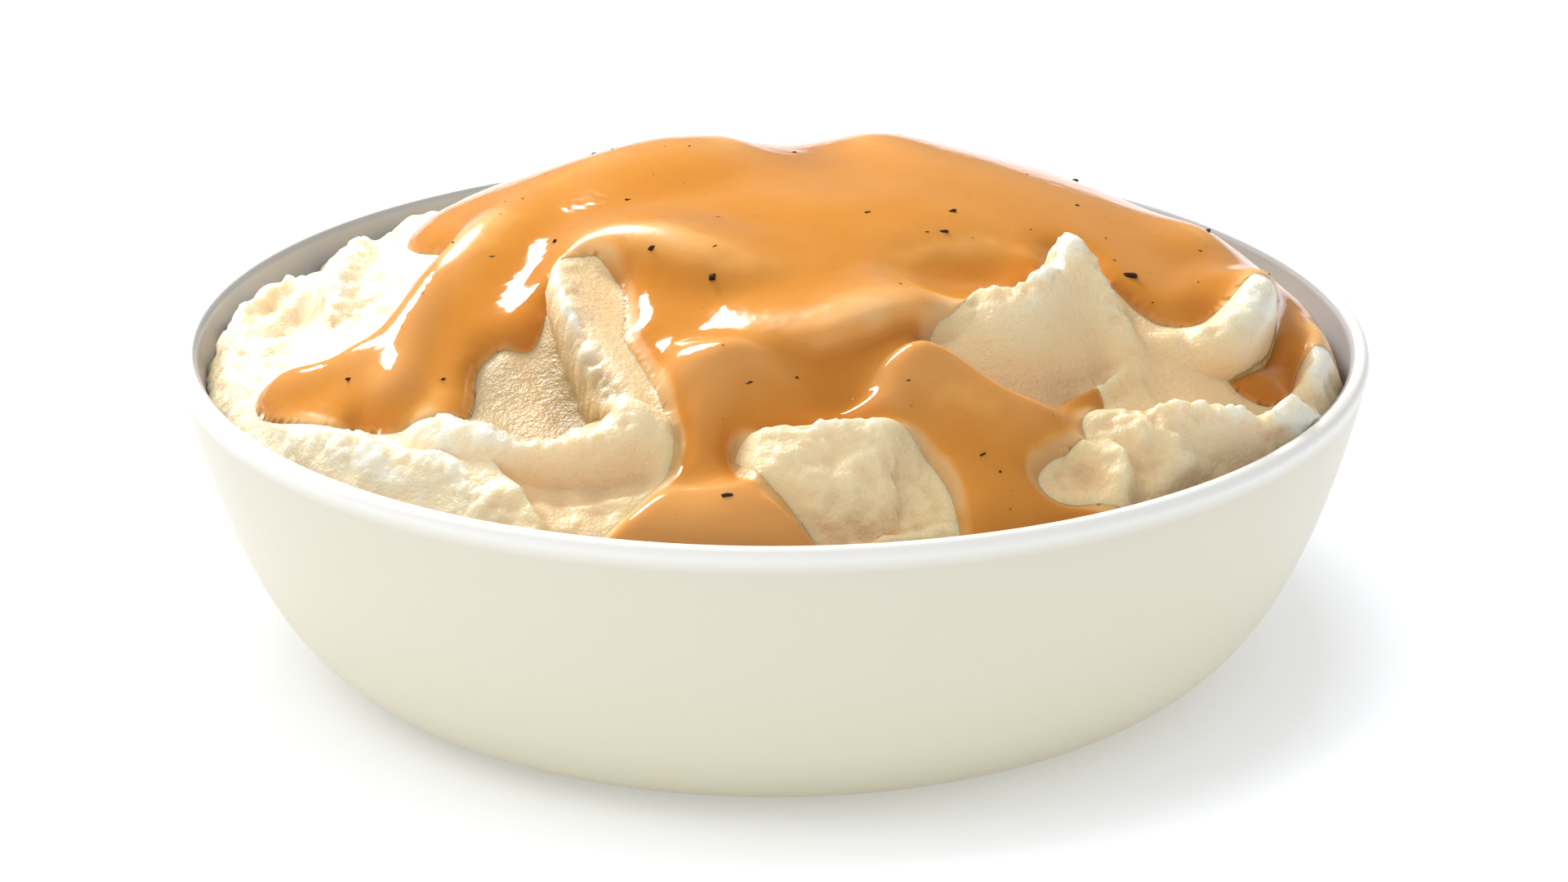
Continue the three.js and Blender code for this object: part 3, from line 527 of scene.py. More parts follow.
# %% How far inside the edge a place lies
def inside_gravy(x, y):
    """Distance inside the gravy's edge, and negative outside it."""
    distance = nearest_on(edge_line, x, y)[0]
    inside = np.zeros(x.shape, bool)
    for a, b in zip(edge_line, edge_line[1:]):
        rise = b[1] - a[1] if b[1] != a[1] else 1e-12
        inside ^= ((a[1] > y) != (b[1] > y)) & (x < (b[0] - a[0]) * (y - a[1]) / rise + a[0])
    from_wall = inner_radius(EDGE_HEIGHT) + 0.6 - np.hypot(x, y)
    return np.minimum(np.where(inside, distance, -distance), from_wall)


def fade(value, start, end):
    t = np.clip((value - start) / (end - start), 0, 1)
    return t * t * (3 - 2 * t)


def faded_edge(x, y):
    """1 where the gravy's edge fades out, and 0 where it ends in a thick lobe."""
    right_side = fade(x, 20, 24) * fade(y, -40, -36)
    return fade(x, -22, -17) * fade(-y, -8, 4) * (1 - right_side)


print("the top lies", round(inside_gravy(np.array([5.0]), np.array([0.0]))[0], 1), "mm inside the edge")

# %% [markdown]
# The thickness is the way from the mash up to the gravy's level, and at least a film. In a few places the
# gravy hangs thicker, as lumps. Towards a lobe's edge the thickness rounds off like a drop, and a faded edge
# tapers off to nothing over about two millimetres.

# %% The gravy's thickness
GRAVY_LUMPS = {
    "front pool": (7.5, [(-11, -59, 1.2), (-6, -59, 1.7), (-1, -59.6, 1.3)]),
    "middle stream": (5, [(-6.5, -46, 1.6), (-6.5, -52, 0.8)]),
    "left finger": (4, [(-52, -23.4, 1.2), (-47.6, -25.6, 1.4), (-44, -27, 0.6)]),
    "left fold": (3.4, [(-41.6, -19, 0.6), (-43.4, -25, 1.5), (-43.6, -30, 0.8)]),
    "left lobe": (4.6, [(-37.6, -17, 0.8), (-38.6, -25, 1.8), (-39.4, -33.4, 2)]),
    "blob": (5.4, [(-9, -40.6, 1.2), (-4, -41.4, 1.8), (1, -43, 0.8)]),
    "right lobe": (4.6, [(11, -46.6, 2.2), (13, -42.6, 2.6), (18, -39.6, 1.8), (26, -43, 0.8)]),
}
GRAVY_DEPTH = 1.5
GRAVY_FILM = 0.5
GRAVY_EDGE_WIDTH = 3.2
GRAVY_ROUNDING = 0.62
FADE_WIDTH = 2.2
GRAVY_SMOOTHING = 4.0
BLEND = 1.2


def smooth_max(a, b, reach):
    h = np.clip(0.5 + 0.5 * (a - b) / reach, 0, 1)
    return b + (a - b) * h + reach * h * (1 - h)


def gravy_thickness(x, y, mash, inside):
    level = mash_height(x, y, GRAVY_SMOOTHING) + GRAVY_DEPTH
    depth = smooth_max(level - mash, np.full(x.shape, GRAVY_FILM), BLEND)
    for width, points in GRAVY_LUMPS.values():
        depth = depth + stroke_height(x, y, width, width, 0, 0, points)
    rounding = (1 - (1 - np.clip(inside / GRAVY_EDGE_WIDTH, 0, 1)) ** 2) ** GRAVY_ROUNDING
    faded = faded_edge(x, y)
    return depth * (rounding * (1 - faded) + fade(inside, -0.2, FADE_WIDTH) * faded)


print("gravy film:", GRAVY_FILM, "mm, and", len(GRAVY_LUMPS), "lumps")

# %% [markdown]
# ## A disc to shape
# Both surfaces start as the same thing: a six-sided fan of triangles, subdivided until it is fine. Its
# rings are then rounded into circles, so that all triangles stay nearly alike. The middle of the mesh is
# pulled to the front, where the folds are, and its outside edge follows the bowl's wall.

# %% Make the disc
def make_disc(name, first_cuts, second_cuts):
    deselect_all()
    bpy.ops.mesh.primitive_circle_add(vertices=6, radius=1, fill_type="TRIFAN")
    disc = bpy.context.object
    disc.name = name
    bpy.ops.object.mode_set(mode="EDIT")
    bpy.ops.mesh.select_all(action="SELECT")
    bpy.ops.mesh.subdivide(number_cuts=first_cuts)
    bpy.ops.mesh.subdivide(number_cuts=second_cuts)
    bpy.ops.object.mode_set(mode="OBJECT")
    return disc


mash = make_disc("mashed_potato", 15, 10)
print("mash disc:", len(mash.data.polygons), "triangles")

# %% [markdown]
# In each of the hexagon's six sectors, a vertex lies on some ring and part of the way along it. The same
# ring and the same part of the way put it on a circle. The outermost circle lies where the mash meets the
# wall, and the mash's height says where that is.

# %% Round the disc and raise it to the mash's height
GAP = 0.05
MESH_CENTRE = (-2.0, -17.0)
START_ANGLE = math.radians(90)
SECTOR_ANGLE = math.radians(60)


def heap_radius(angle):
    radius = inner_radius(EDGE_HEIGHT) - GAP
    for _ in range(4):
        radius = inner_radius(mash_height(radius * np.cos(angle), radius * np.sin(angle))) - GAP
    return radius


def round_the_disc(disc):
    """The x and y in mm of each vertex once the hexagon's rings are circles. Part is the way out, 0 to 1."""
    flat = places_of(disc)
    angle = np.mod(np.arctan2(flat[:, 1], flat[:, 0]) - START_ANGLE, 2 * math.pi)
    sector = np.minimum(np.floor(angle / SECTOR_ANGLE), 5)
    within = angle - sector * SECTOR_ANGLE
    distance = np.hypot(flat[:, 0], flat[:, 1])
    share_b = distance * np.sin(within) / math.sin(SECTOR_ANGLE)
    share_a = distance * np.sin(SECTOR_ANGLE - within) / math.sin(SECTOR_ANGLE)
    part = share_a + share_b
    around = (sector + share_b / np.maximum(part, 1e-9)) * SECTOR_ANGLE + START_ANGLE
    radius = part * heap_radius(around)
    x = radius * np.cos(around) + MESH_CENTRE[0] * (1 - part ** 2)
    y = radius * np.sin(around) + MESH_CENTRE[1] * (1 - part ** 2)
    return x, y


mash_x, mash_y = round_the_disc(mash)
mash_z = mash_height(mash_x, mash_y)
mash_inside = inside_gravy(mash_x, mash_y)
lean_x, lean_y = leaning(mash_x, mash_y)
move_vertices(mash, np.column_stack([mash_x + lean_x, mash_y + lean_y, mash_z]) * MM)
print(f"mash from {mash_z.min():.1f} to {mash_z.max():.1f} mm high")

# %% [markdown]
# ## Torn crests and lumps
# Mash isn't smooth. Where the spoon lifted off, the crest is torn and crumbly. On the left, at the back and
# along the front and right edges the heap was only dropped in, so it is lumpy there. The dishes stay
# smooth. Both kinds of roughness end at the gravy, so that the gravy keeps lying on the mash.

# %% Where each roughness belongs
CREST_WIDTH = 2.6
BARE_EDGE = 1.8


def crest_weight(x, y):
    """1 on the crisp crests, and 0 some way from them."""
    weight = np.zeros(x.shape)
    for behind, front, crisp, roll, points in RIDGES.values():
        if crisp < 0.35:
            continue
        line = smooth_line(points)
        lowest, highest = line[:, :2].min(axis=0) - CREST_WIDTH, line[:, :2].max(axis=0) + CREST_WIDTH
        close = (x > lowest[0]) & (x < highest[0]) & (y > lowest[1]) & (y < highest[1])
        distance, _, value = nearest_on(line, x[close], y[close])[:3]
        here = np.clip(1 - distance / CREST_WIDTH, 0, 1) * np.clip(value / 2.5, 0, 1)
        weight[close] = np.maximum(weight[close], here)
    return weight


def add_group(piece, name, weights):
    group = piece.vertex_groups.new(name=name)
    levels = np.round(np.clip(weights, 0, 1) * 20).astype(int)
    for level in range(1, 21):
        members = np.flatnonzero(levels == level)
        if len(members):
            group.add(members.tolist(), level / 20, "REPLACE")


bare = fade(-mash_inside, 0.1, BARE_EDGE)
crest = crest_weight(mash_x, mash_y) * bare
lumpy_left = fade(-mash_x, 24, 34) * fade(mash_y, -60, -20)
lumpy_front = fade(-mash_y, 49, 54)
lumpy_right = np.maximum(fade(mash_x, 54, 58), fade(mash_x, 25, 30) * fade(-mash_y, 37, 41))
lumpy_back = 0.7 * fade(mash_y, 20, 34)
lumpy = np.maximum.reduce([lumpy_left, lumpy_front, lumpy_right, lumpy_back]) * bare
add_group(mash, "crest", crest)
add_group(mash, "lumpy", lumpy)
print(f"torn crest on {np.mean(crest > 0.3):.0%} of the heap, lumps on {np.mean(lumpy > 0.3):.0%}")

# %% [markdown]
# Each size of roughness is a Displace modifier with its own noise, and the vertex group says where it
# works. A torn crest needs three sizes, down to crumbs, and the lumps need two.

# %% Roughen it
def roughen(piece, group, size, strength):
    """Push the surface in and out along its normals by a noise, sizes in mm."""
    texture = bpy.data.textures.new(f"{piece.name}_{group}_{size}", "CLOUDS")
    texture.noise_scale = size * MM
    texture.noise_depth = 1
    modifier = piece.modifiers.new(texture.name, "DISPLACE")
    modifier.texture = texture
    modifier.texture_coords = "LOCAL"
    modifier.strength = strength * MM
    modifier.mid_level = 0.5
    modifier.vertex_group = group


roughen(mash, "lumpy", 5.0, 1.8)
roughen(mash, "lumpy", 1.8, 0.7)
roughen(mash, "crest", 4.0, 1.2)
roughen(mash, "crest", 1.9, 1.1)
roughen(mash, "crest", 0.9, 0.9)
print("roughened by", len(mash.modifiers), "noises")
apply_modifiers(mash)

# %% [markdown]
# ## Close the heap
# The heap goes on down inside the bowl, where it isn't seen. The surface's edge is extruded down along
# the wall and closed with a face, so the mash is one closed body, as it has to be for light inside it.

# %% Extrude the edge down and close it
BOTTOM_GAP = 0.35


def edge_loop_down(piece, heights):
    pick(piece)
    bpy.ops.object.mode_set(mode="EDIT")
    bpy.ops.mesh.select_all(action="DESELECT")
    bpy.ops.mesh.select_mode(type="EDGE")
    bpy.ops.mesh.select_non_manifold()
    for height in heights:
        bpy.ops.mesh.extrude_edges_move()
        bpy.ops.object.mode_set(mode="OBJECT")
        places = places_of(piece) / MM
        chosen = np.empty(len(places), bool)
        piece.data.vertices.foreach_get("select", chosen)
        angle = np.arctan2(places[chosen, 1], places[chosen, 0])
        radius = inner_radius(height) - BOTTOM_GAP
        places[chosen] = np.column_stack(
            [radius * np.cos(angle), radius * np.sin(angle), np.full(angle.shape, height)])
        move_vertices(piece, places * MM)
        bpy.ops.object.mode_set(mode="EDIT")
    bpy.ops.mesh.edge_face_add()
    bpy.ops.mesh.select_all(action="SELECT")
    bpy.ops.mesh.quads_convert_to_tris()
    bpy.ops.mesh.normals_make_consistent(inside=False)
    bpy.ops.mesh.select_mode(type="VERT")
    bpy.ops.object.mode_set(mode="OBJECT")
    bpy.ops.object.shade_smooth()


edge_loop_down(mash, (24, 16, 9, FLOOR + 0.35))
print("mash:", len(mash.data.polygons), "triangles")

# %% [markdown]
# The crests get painted light and the hollows painted shade: nearly white on a crest and a darker yellow
# in a crease. How far a place lies below its smoothed surroundings says how much of a hollow it is, from 0
# on a crest to 1 in a crease. On the left, where the light falls hardest, less of a hollow is kept, which
# paints light on that side.

# %% Keep how hollow each place is
HOLLOW_SMOOTHING = 3.5
HOLLOW_DEPTH = 2.6


def keep_value(piece, name, values):
    attribute = piece.data.attributes.new(name=name, type="FLOAT", domain="POINT")
    attribute.data.foreach_set("value", values.astype(np.float32))


# How hollow a place is drives painted shade in the creases and painted light on the crests.
hollow = np.full(len(mash.data.vertices), 0.5)
around_it = mash_height(mash_x, mash_y, HOLLOW_SMOOTHING)
shaped = places_of(mash)[:len(mash_x), 2] / MM
# Painted light: on the left less of a hollow is kept, so that side comes out paler.
left_painted_light = 0.75 * fade(-mash_x, 20, 34)
hollow[:len(mash_x)] = np.clip(0.5 + 0.5 * (around_it - shaped) / HOLLOW_DEPTH, 0, 1) * (1 - left_painted_light)
keep_value(mash, "hollow", hollow)
print(f"hollow: {hollow.mean():.2f} on average")

# %% [markdown]
# The back of the spoon pressed the left dishes flat. They get a painted shade, so these dishes are marked
# too, and the mark fades out towards their sides.

# %% Mark the dishes for painted shade
# These dishes get a painted shade in the mash's colour.
SHADED_DISHES = ("left dish", "above the left dish", "under the cross ridge")
dish_shade = np.zeros(len(mash.data.vertices))
for name in SHADED_DISHES:
    width, points = DISHES[name]
    distance = nearest_on(smooth_line(points), mash_x, mash_y)[0]
    dish_shade[:len(mash_x)] = np.maximum(dish_shade[:len(mash_x)], fade(1 - distance / width, 0, 0.5))
keep_value(mash, "dish_shade", dish_shade)
print(f"pressed: {np.mean(dish_shade > 0.5):.0%} of the heap")

# %% [markdown]
# On the left the gravy stops in a thick rounded edge. Where it fades out over the mash instead, its juice
# stains the mash around it, and how stained a place is gets an attribute as well.

# %% Keep the stain round the gravy
STAIN_WIDTH = 2.2
stain = np.zeros(len(mash.data.vertices))
stain[:len(mash_x)] = fade(mash_inside, -STAIN_WIDTH, 0.4) * faded_edge(mash_x, mash_y)
keep_value(mash, "stain", stain)
print(f"stained: {np.mean(stain > 0.5):.0%} of the heap, most of it under the gravy")

# %% [markdown]
# ## The gravy
# The gravy is a second, slightly coarser disc, cut off just outside the gravy's edge. Its rim dives into
# the mash there, so the line where the two meet stays smooth. The vertices close to the edge are first
# pulled onto it, or the edge would follow the triangles.

# %% Cut the gravy's sheet out of a disc
SNAP = 0.26
PAST_EDGE = 0.75
PROBE = 0.02


def pull_to_edge(x, y):
    """The places moved onto the gravy's edge, along the shortest way."""
    inside = inside_gravy(x, y)
    slope_x = (inside_gravy(x + PROBE, y) - inside_gravy(x - PROBE, y)) / 2
    slope_y = (inside_gravy(x, y + PROBE) - inside_gravy(x, y - PROBE)) / 2
    length = np.maximum(np.hypot(slope_x, slope_y), 1e-6)
    return x - inside * slope_x / length, y - inside * slope_y / length


gravy = make_disc("gravy", 9, 14)
x, y = round_the_disc(gravy)
near_edge = np.abs(inside_gravy(x, y)) < SNAP
x[near_edge], y[near_edge] = pull_to_edge(x[near_edge], y[near_edge])
move_vertices(gravy, np.column_stack([x, y, np.zeros(x.shape)]) * MM)

pick(gravy)
bpy.ops.object.mode_set(mode="EDIT")
bpy.ops.mesh.select_all(action="DESELECT")
bpy.ops.object.mode_set(mode="OBJECT")
gravy.data.vertices.foreach_set("select", inside_gravy(x, y) < -PAST_EDGE)
bpy.ops.object.mode_set(mode="EDIT")
bpy.ops.mesh.delete(type="VERT")
bpy.ops.object.mode_set(mode="OBJECT")
print("gravy sheet:", len(gravy.data.polygons), "triangles")

# %% [markdown]
# The flat sheet is extruded once, which gives it a second skin and a rim between the two. One skin then
# becomes the gravy's top, and the other its underside, a little way inside the mash. Both lean as the
# mash does.

# %% Give it its two skins
DIVE = 2.0
UNDERSIDE = 1.2
kept = places_of(gravy) / MM
under = mash_height(kept[:, 0], kept[:, 1])
inside = inside_gravy(kept[:, 0], kept[:, 1])
depth = gravy_thickness(kept[:, 0], kept[:, 1], under, inside)
top_height = under + depth + DIVE * np.minimum(inside, 0) + 0.02
pick(gravy)
bpy.ops.object.mode_set(mode="EDIT")
bpy.ops.mesh.select_all(action="SELECT")
bpy.ops.mesh.extrude_region_move()
bpy.ops.object.mode_set(mode="OBJECT")
raised = np.empty(len(gravy.data.vertices), bool)
gravy.data.vertices.foreach_get("select", raised)
places = places_of(gravy) / MM
places[raised, 2] = top_height
places[~raised, 2] = under - UNDERSIDE + DIVE * np.minimum(inside, 0)
lean_x, lean_y = leaning(kept[:, 0], kept[:, 1])
for skin in (raised, ~raised):
    places[skin, 0] += lean_x
    places[skin, 1] += lean_y
move_vertices(gravy, places * MM)
print("gravy up to", round(depth.max(), 1), "mm thick")

# %% [markdown]
# A liquid has no sharp folds. So the top skin is smoothed, but hardly at its edge or where it is thin,
# or the mash would come through.

# %% Smooth the top skin
SMOOTH_STEPS = 50
free = np.zeros(len(raised))
free[raised] = fade(inside, -0.3, 1.4) * (0.15 + 0.85 * fade(depth, 0.6, 1.3))
add_group(gravy, "free top", free)
smoothing = gravy.modifiers.new("level", "SMOOTH")
smoothing.factor = 0.5
smoothing.iterations = SMOOTH_STEPS
smoothing.vertex_group = "free top"
apply_modifiers(gravy)
pick(gravy)
bpy.ops.object.mode_set(mode="EDIT")
bpy.ops.mesh.select_all(action="SELECT")
bpy.ops.mesh.normals_make_consistent(inside=False)
bpy.ops.object.mode_set(mode="OBJECT")
bpy.ops.object.shade_smooth()
print("gravy:", len(gravy.data.polygons), "triangles")

# %% [markdown]
# A thin film of gravy is paler than a deep pool, because the mash shows through. So the thickness is kept
# on the vertices as an attribute, for the material to read. Another one, the cover, is 0 outside the line
# where a faded edge ends and 1 everywhere else.

# %% Keep the gravy's thickness and cover
def keep_on_both_skins(name, values):
    on_both_skins = np.zeros(len(gravy.data.vertices))
    on_both_skins[raised] = values
    on_both_skins[~raised] = values
    keep_value(gravy, name, on_both_skins)


faded = faded_edge(kept[:, 0], kept[:, 1])
keep_on_both_skins("thickness", depth * (1 - faded * (1 - fade(inside, -0.3, FADE_WIDTH))))
keep_on_both_skins("cover", 1 - faded * (1 - fade(inside, -0.2, 0)))
print(f"faded edge: {np.mean(faded > 0.5):.0%} of the sheet")

# %% [markdown]
# The gravy gets painted shade in its valleys and a painted sheen on its bulges. How far the gravy's top lies
# below its wider surroundings says how much of a valley a place is. The front pool is counted as a bulge,
# although it lies low, so it gets the painted sheen too.

# %% Keep where the gravy gets painted shade and sheen
VALLEY_SMOOTHING = 7.0
VALLEY_DEPTH = 2.6
POOL_SHEEN = 0.1
around_it = mash_height(kept[:, 0], kept[:, 1], VALLEY_SMOOTHING) + GRAVY_DEPTH
valley = np.clip(0.5 + 0.5 * (around_it - under - depth) / VALLEY_DEPTH, 0, 1)
pool_width, pool_points = GRAVY_LUMPS["front pool"]
from_pool = nearest_on(smooth_line(pool_points), kept[:, 0], kept[:, 1])[0]
pool_sheen_share = fade(1 - from_pool / pool_width, 0, 0.6)
# The front pool gets the bulge value, so it takes the painted sheen.
keep_on_both_skins("valley", valley * (1 - pool_sheen_share) + POOL_SHEEN * pool_sheen_share)
print(f"valleys: {np.mean(valley > 0.6):.0%} of the gravy")

# %% [markdown]
# ## Cracked pepper
# Pepper in gravy is cracked, not ground: flat dark splinters, the largest about a millimetre and a half
# long and most of them much smaller. The larger ones lie on top, and the smaller ones are partly sunk. One
# splinter is modelled from a small ball, dented and flattened.

# %% One splinter
deselect_all()
bpy.ops.mesh.primitive_ico_sphere_add(subdivisions=2, radius=0.5 * MM)
splinter = bpy.context.object
splinter.name = "pepper"
bpy.ops.object.mode_set(mode="EDIT")
bpy.ops.mesh.select_all(action="SELECT")
bpy.ops.transform.vertex_random(offset=0.2 * MM, uniform=0.6, seed=3)
bpy.ops.transform.resize(value=(1.1, 0.72, 0.42), center_override=(0, 0, 0))
bpy.ops.object.mode_set(mode="OBJECT")
print("splinter:", len(splinter.data.polygons), "faces")

# %% [markdown]
# The flakes that catch the eye have their own place, size and turn. The small ones are scattered over the
# gravy from a fixed seed, so that each run gives the same pepper.

# %% Where the splinters lie, as (x, y, size, turn in degrees)
FLAKES = [
    (-15.5, -6, 0.5, 20), (-23, -13, 0.5, 70), (-30, -14, 0.4, 15), (-12, -22, 0.5, 50),
    (-6, -27, 0.7, 80), (-6, -14, 0.4, 0), (-44, -30, 0.4, 35), (-34, -33, 0.3, 60),
    (-4.5, -57.5, 0.7, 10), (-2.5, -44, 0.4, 30), (19, -9, 0.7, 30), (18, -14, 0.6, 10),
    (10, -12, 0.4, 50), (38, -13.5, 1, 15), (33, 2, 0.3, 65), (13.5, -44, 0.4, 5),
    (21, -50, 0.3, 40), (2, 12, 0.5, 25), (-20, 14, 0.6, 75), (14, 24, 0.5, 5), (34, 24, 0.7, 45),
    (-4, 34, 0.6, 60), (-30, 20, 0.4, 15), (48, 8, 0.5, 85),
]
SMALL_FLAKES = 110
FROM_EDGE = 1.5
SCATTER_RADIUS = 58
draw = np.random.default_rng(5)
scattered = []
while len(scattered) < SMALL_FLAKES:
    x, y = draw.uniform(-60, 60, 2)
    inside_here = inside_gravy(np.array([x]), np.array([y]))[0]
    if inside_here > FROM_EDGE and np.hypot(x, y) < SCATTER_RADIUS:
        scattered.append((x, y, draw.uniform(-0.3, 0.15), draw.uniform(0, 180)))
print(len(FLAKES), "flakes placed and", len(scattered), "scattered")

# %% [markdown]
# Each copy of the splinter gets its size and turn, a small tilt, and its place on top of the gravy, sunk in
# by a tenth of a millimetre. Then the copies are joined into one piece, and their places are applied.

# %% Copy the splinter and join the copies
FLAKE_SIZE = 1.5
SUNK = 0.1


def top_of_gravy(x, y):
    """The point on the gravy's top above a place in plan, in mm, after leaning."""
    x, y = np.array([float(x)]), np.array([float(y)])
    base = mash_height(x, y)
    height = base + gravy_thickness(x, y, base, inside_gravy(x, y))
    lean_x, lean_y = leaning(x, y)
    return x[0] + lean_x[0], y[0] + lean_y[0], height[0]


flakes = []
for number, (x, y, size, turn) in enumerate(FLAKES + scattered):
    pick(splinter)
    bpy.ops.object.duplicate()
    copy = bpy.context.object
    scale = FLAKE_SIZE * (0.3 + 0.7 * size)
    copy.scale = (scale, scale * (0.8 + 0.05 * (number % 5)), scale)
    copy.rotation_euler = (0.15 * math.sin(number), 0.2 * math.cos(number), math.radians(turn))
    x, y, height = top_of_gravy(x, y)
    copy.location = Vector((x, y, height - SUNK)) * MM
    flakes.append(copy)
pick(splinter)
bpy.ops.object.delete()
for copy in flakes:
    copy.select_set(True)
bpy.context.view_layer.objects.active = flakes[0]
bpy.ops.object.join()
pepper = bpy.context.object
pepper.name = "cracked_pepper"
bpy.ops.object.transform_apply(location=True, rotation=True, scale=True)
print("pepper:", len(flakes), "splinters")

# %% [markdown]
# ## Materials
# The materials are made of a few kinds of node again and again. So each kind gets a small helper, which
# adds the node, links what it reads and gives back what comes out of it.

# %% Helpers for a material and for its values
def new_material(name, base, roughness, **values):
    material = bpy.data.materials.new(name)
    material.use_nodes = True
    shader = material.node_tree.nodes["Principled BSDF"]
    shader.inputs["Base Color"].default_value = (*base, 1)
    shader.inputs["Roughness"].default_value = roughness
    for socket, value in values.items():
        shader.inputs[socket.replace("_", " ")].default_value = value
    return material, material.node_tree, shader


def read_attribute(tree, name):
    node = tree.nodes.new("ShaderNodeAttribute")
    node.attribute_name = name
    return node.outputs["Fac"]


def add_range(tree, value, start, end, low, high):
    """Turn a value between start and end into one between low and high."""
    node = tree.nodes.new("ShaderNodeMapRange")
    for name, number in (("From Min", start), ("From Max", end), ("To Min", low), ("To Max", high)):
        node.inputs[name].default_value = number
    tree.links.new(value, node.inputs["Value"])
    return node.outputs["Result"]


def add_math(tree, operation, first, second):
    """One sum on two values. The second may be a plain number."""
    node = tree.nodes.new("ShaderNodeMath")
    node.operation = operation
    tree.links.new(first, node.inputs[0])
    if isinstance(second, float):
        node.inputs[1].default_value = second
    else:
        tree.links.new(second, node.inputs[1])
    return node.outputs["Value"]


print("helpers for values ready")

# %% [markdown]
# A value becomes a colour through a ramp, a plain colour is laid over another through a mix, and a height
# tilts the surface's normal through a bump. The Mix node has a set of sockets for each kind of data, and
# those for colours are picked by number.

# %% Helpers for colours and bumps
MIX_SHARE, MIX_BELOW, MIX_ABOVE, MIX_RESULT = 0, 6, 7, 2


def add_ramp(tree, value, stops):
    """A colour for each value, from stops of position and colour, the lowest first."""
    node = tree.nodes.new("ShaderNodeValToRGB")
    elements = node.color_ramp.elements
    for element, (position, colour) in ((elements[0], stops[0]), (elements[1], stops[-1])):
        element.position = position
        element.color = (*colour, 1)
    for position, colour in stops[1:-1]:
        elements.new(position).color = (*colour, 1)
    tree.links.new(value, node.inputs["Fac"])
    return node.outputs["Color"]


def add_mix(tree, share, below, colour, blend="MIX"):
    """Lay a plain colour over another, by a share."""
    node = tree.nodes.new("ShaderNodeMix")
    node.data_type = "RGBA"
    node.blend_type = blend
    node.inputs[MIX_ABOVE].default_value = (*colour, 1)
    tree.links.new(share, node.inputs[MIX_SHARE])
    tree.links.new(below, node.inputs[MIX_BELOW])
    return node.outputs[MIX_RESULT]


def add_bump(tree, height, strength, distance):
    node = tree.nodes.new("ShaderNodeBump")
    node.inputs["Strength"].default_value = strength
    node.inputs["Distance"].default_value = distance
    tree.links.new(height, node.inputs["Height"])
    return node


print("helpers for colours ready")

# %% [markdown]
# The glaze, the mash and the gravy all have a fine grain, each at its own size. So it is a node group, made
# once. It gives a height, for a bump or to vary a colour, and it reads Object coordinates, which stay with
# the piece.

# %% The grain group
def make_grain_group():
    tree = bpy.data.node_groups.new("fine_grain", "ShaderNodeTree")
    for name, value in (("Size", 1000.0), ("Detail", 3.0), ("Contrast", 1.0)):
        socket = tree.interface.new_socket(name=name, in_out="INPUT", socket_type="NodeSocketFloat")
        socket.default_value = value
    tree.interface.new_socket(name="Height", in_out="OUTPUT", socket_type="NodeSocketFloat")
    entry = tree.nodes.new("NodeGroupInput")
    leave = tree.nodes.new("NodeGroupOutput")
    place = tree.nodes.new("ShaderNodeTexCoord")
    noise = tree.nodes.new("ShaderNodeTexNoise")
    noise.inputs["Roughness"].default_value = 0.6
    tree.links.new(place.outputs["Object"], noise.inputs["Vector"])
    tree.links.new(entry.outputs["Size"], noise.inputs["Scale"])
    tree.links.new(entry.outputs["Detail"], noise.inputs["Detail"])
    height = add_math(tree, "MULTIPLY", noise.outputs["Fac"], entry.outputs["Contrast"])
    tree.links.new(height, leave.inputs["Height"])
    return tree


grain_group = make_grain_group()


def add_grain(tree, size, detail, contrast):
    node = tree.nodes.new("ShaderNodeGroup")
    node.node_tree = grain_group
    node.inputs["Size"].default_value = size
    node.inputs["Detail"].default_value = detail
    node.inputs["Contrast"].default_value = contrast
    return node.outputs["Height"]


print("grain group of", len(grain_group.nodes), "nodes")

# %% [markdown]
# The strip of wall that shows inside, above the heap, gets a painted shade: a cooler grey than the outside,
# where the glaze is really the same. The material has to know which side it is on, so an attribute marks the
# inside.

# %% Mark the inside of the bowl
bowl_places = places_of(bowl) / MM
bowl_out = np.hypot(bowl_places[:, 0], bowl_places[:, 1])
is_inner = (bowl_out < inner_radius(bowl_places[:, 2]) + 0.5) & (bowl_places[:, 2] > FLOOR - 0.1)
# This mark tells the glaze where to lay its painted shade.
keep_value(bowl, "shaded inner wall", is_inner.astype(float))
print(f"inside: {np.mean(is_inner):.0%} of the bowl's vertices")

# %% [markdown]
# The glaze is a warm ivory. Its colour goes with its height: darker and yellower low down, where the wall
# turns under, which is painted shade, and nearly white on the lip, which is a painted highlight. It is
# softly glossy, with a very slight unevenness.

# %% Bowl glaze
GLAZE_TOP = 0.0352
# The low stops are painted shade where the wall turns under, and the top stop is a painted highlight on the
# lip.
IVORY_SHADE_AND_HIGHLIGHT = (
    (0, (0.64, 0.59, 0.42)), (0.25, (0.755, 0.71, 0.54)),
    (0.93, (0.795, 0.75, 0.61)), (0.985, (1, 0.99, 0.95)))
# A painted shade for the inside wall, where little light reaches.
INNER_PAINTED_SHADE = (0.40, 0.42, 0.45)

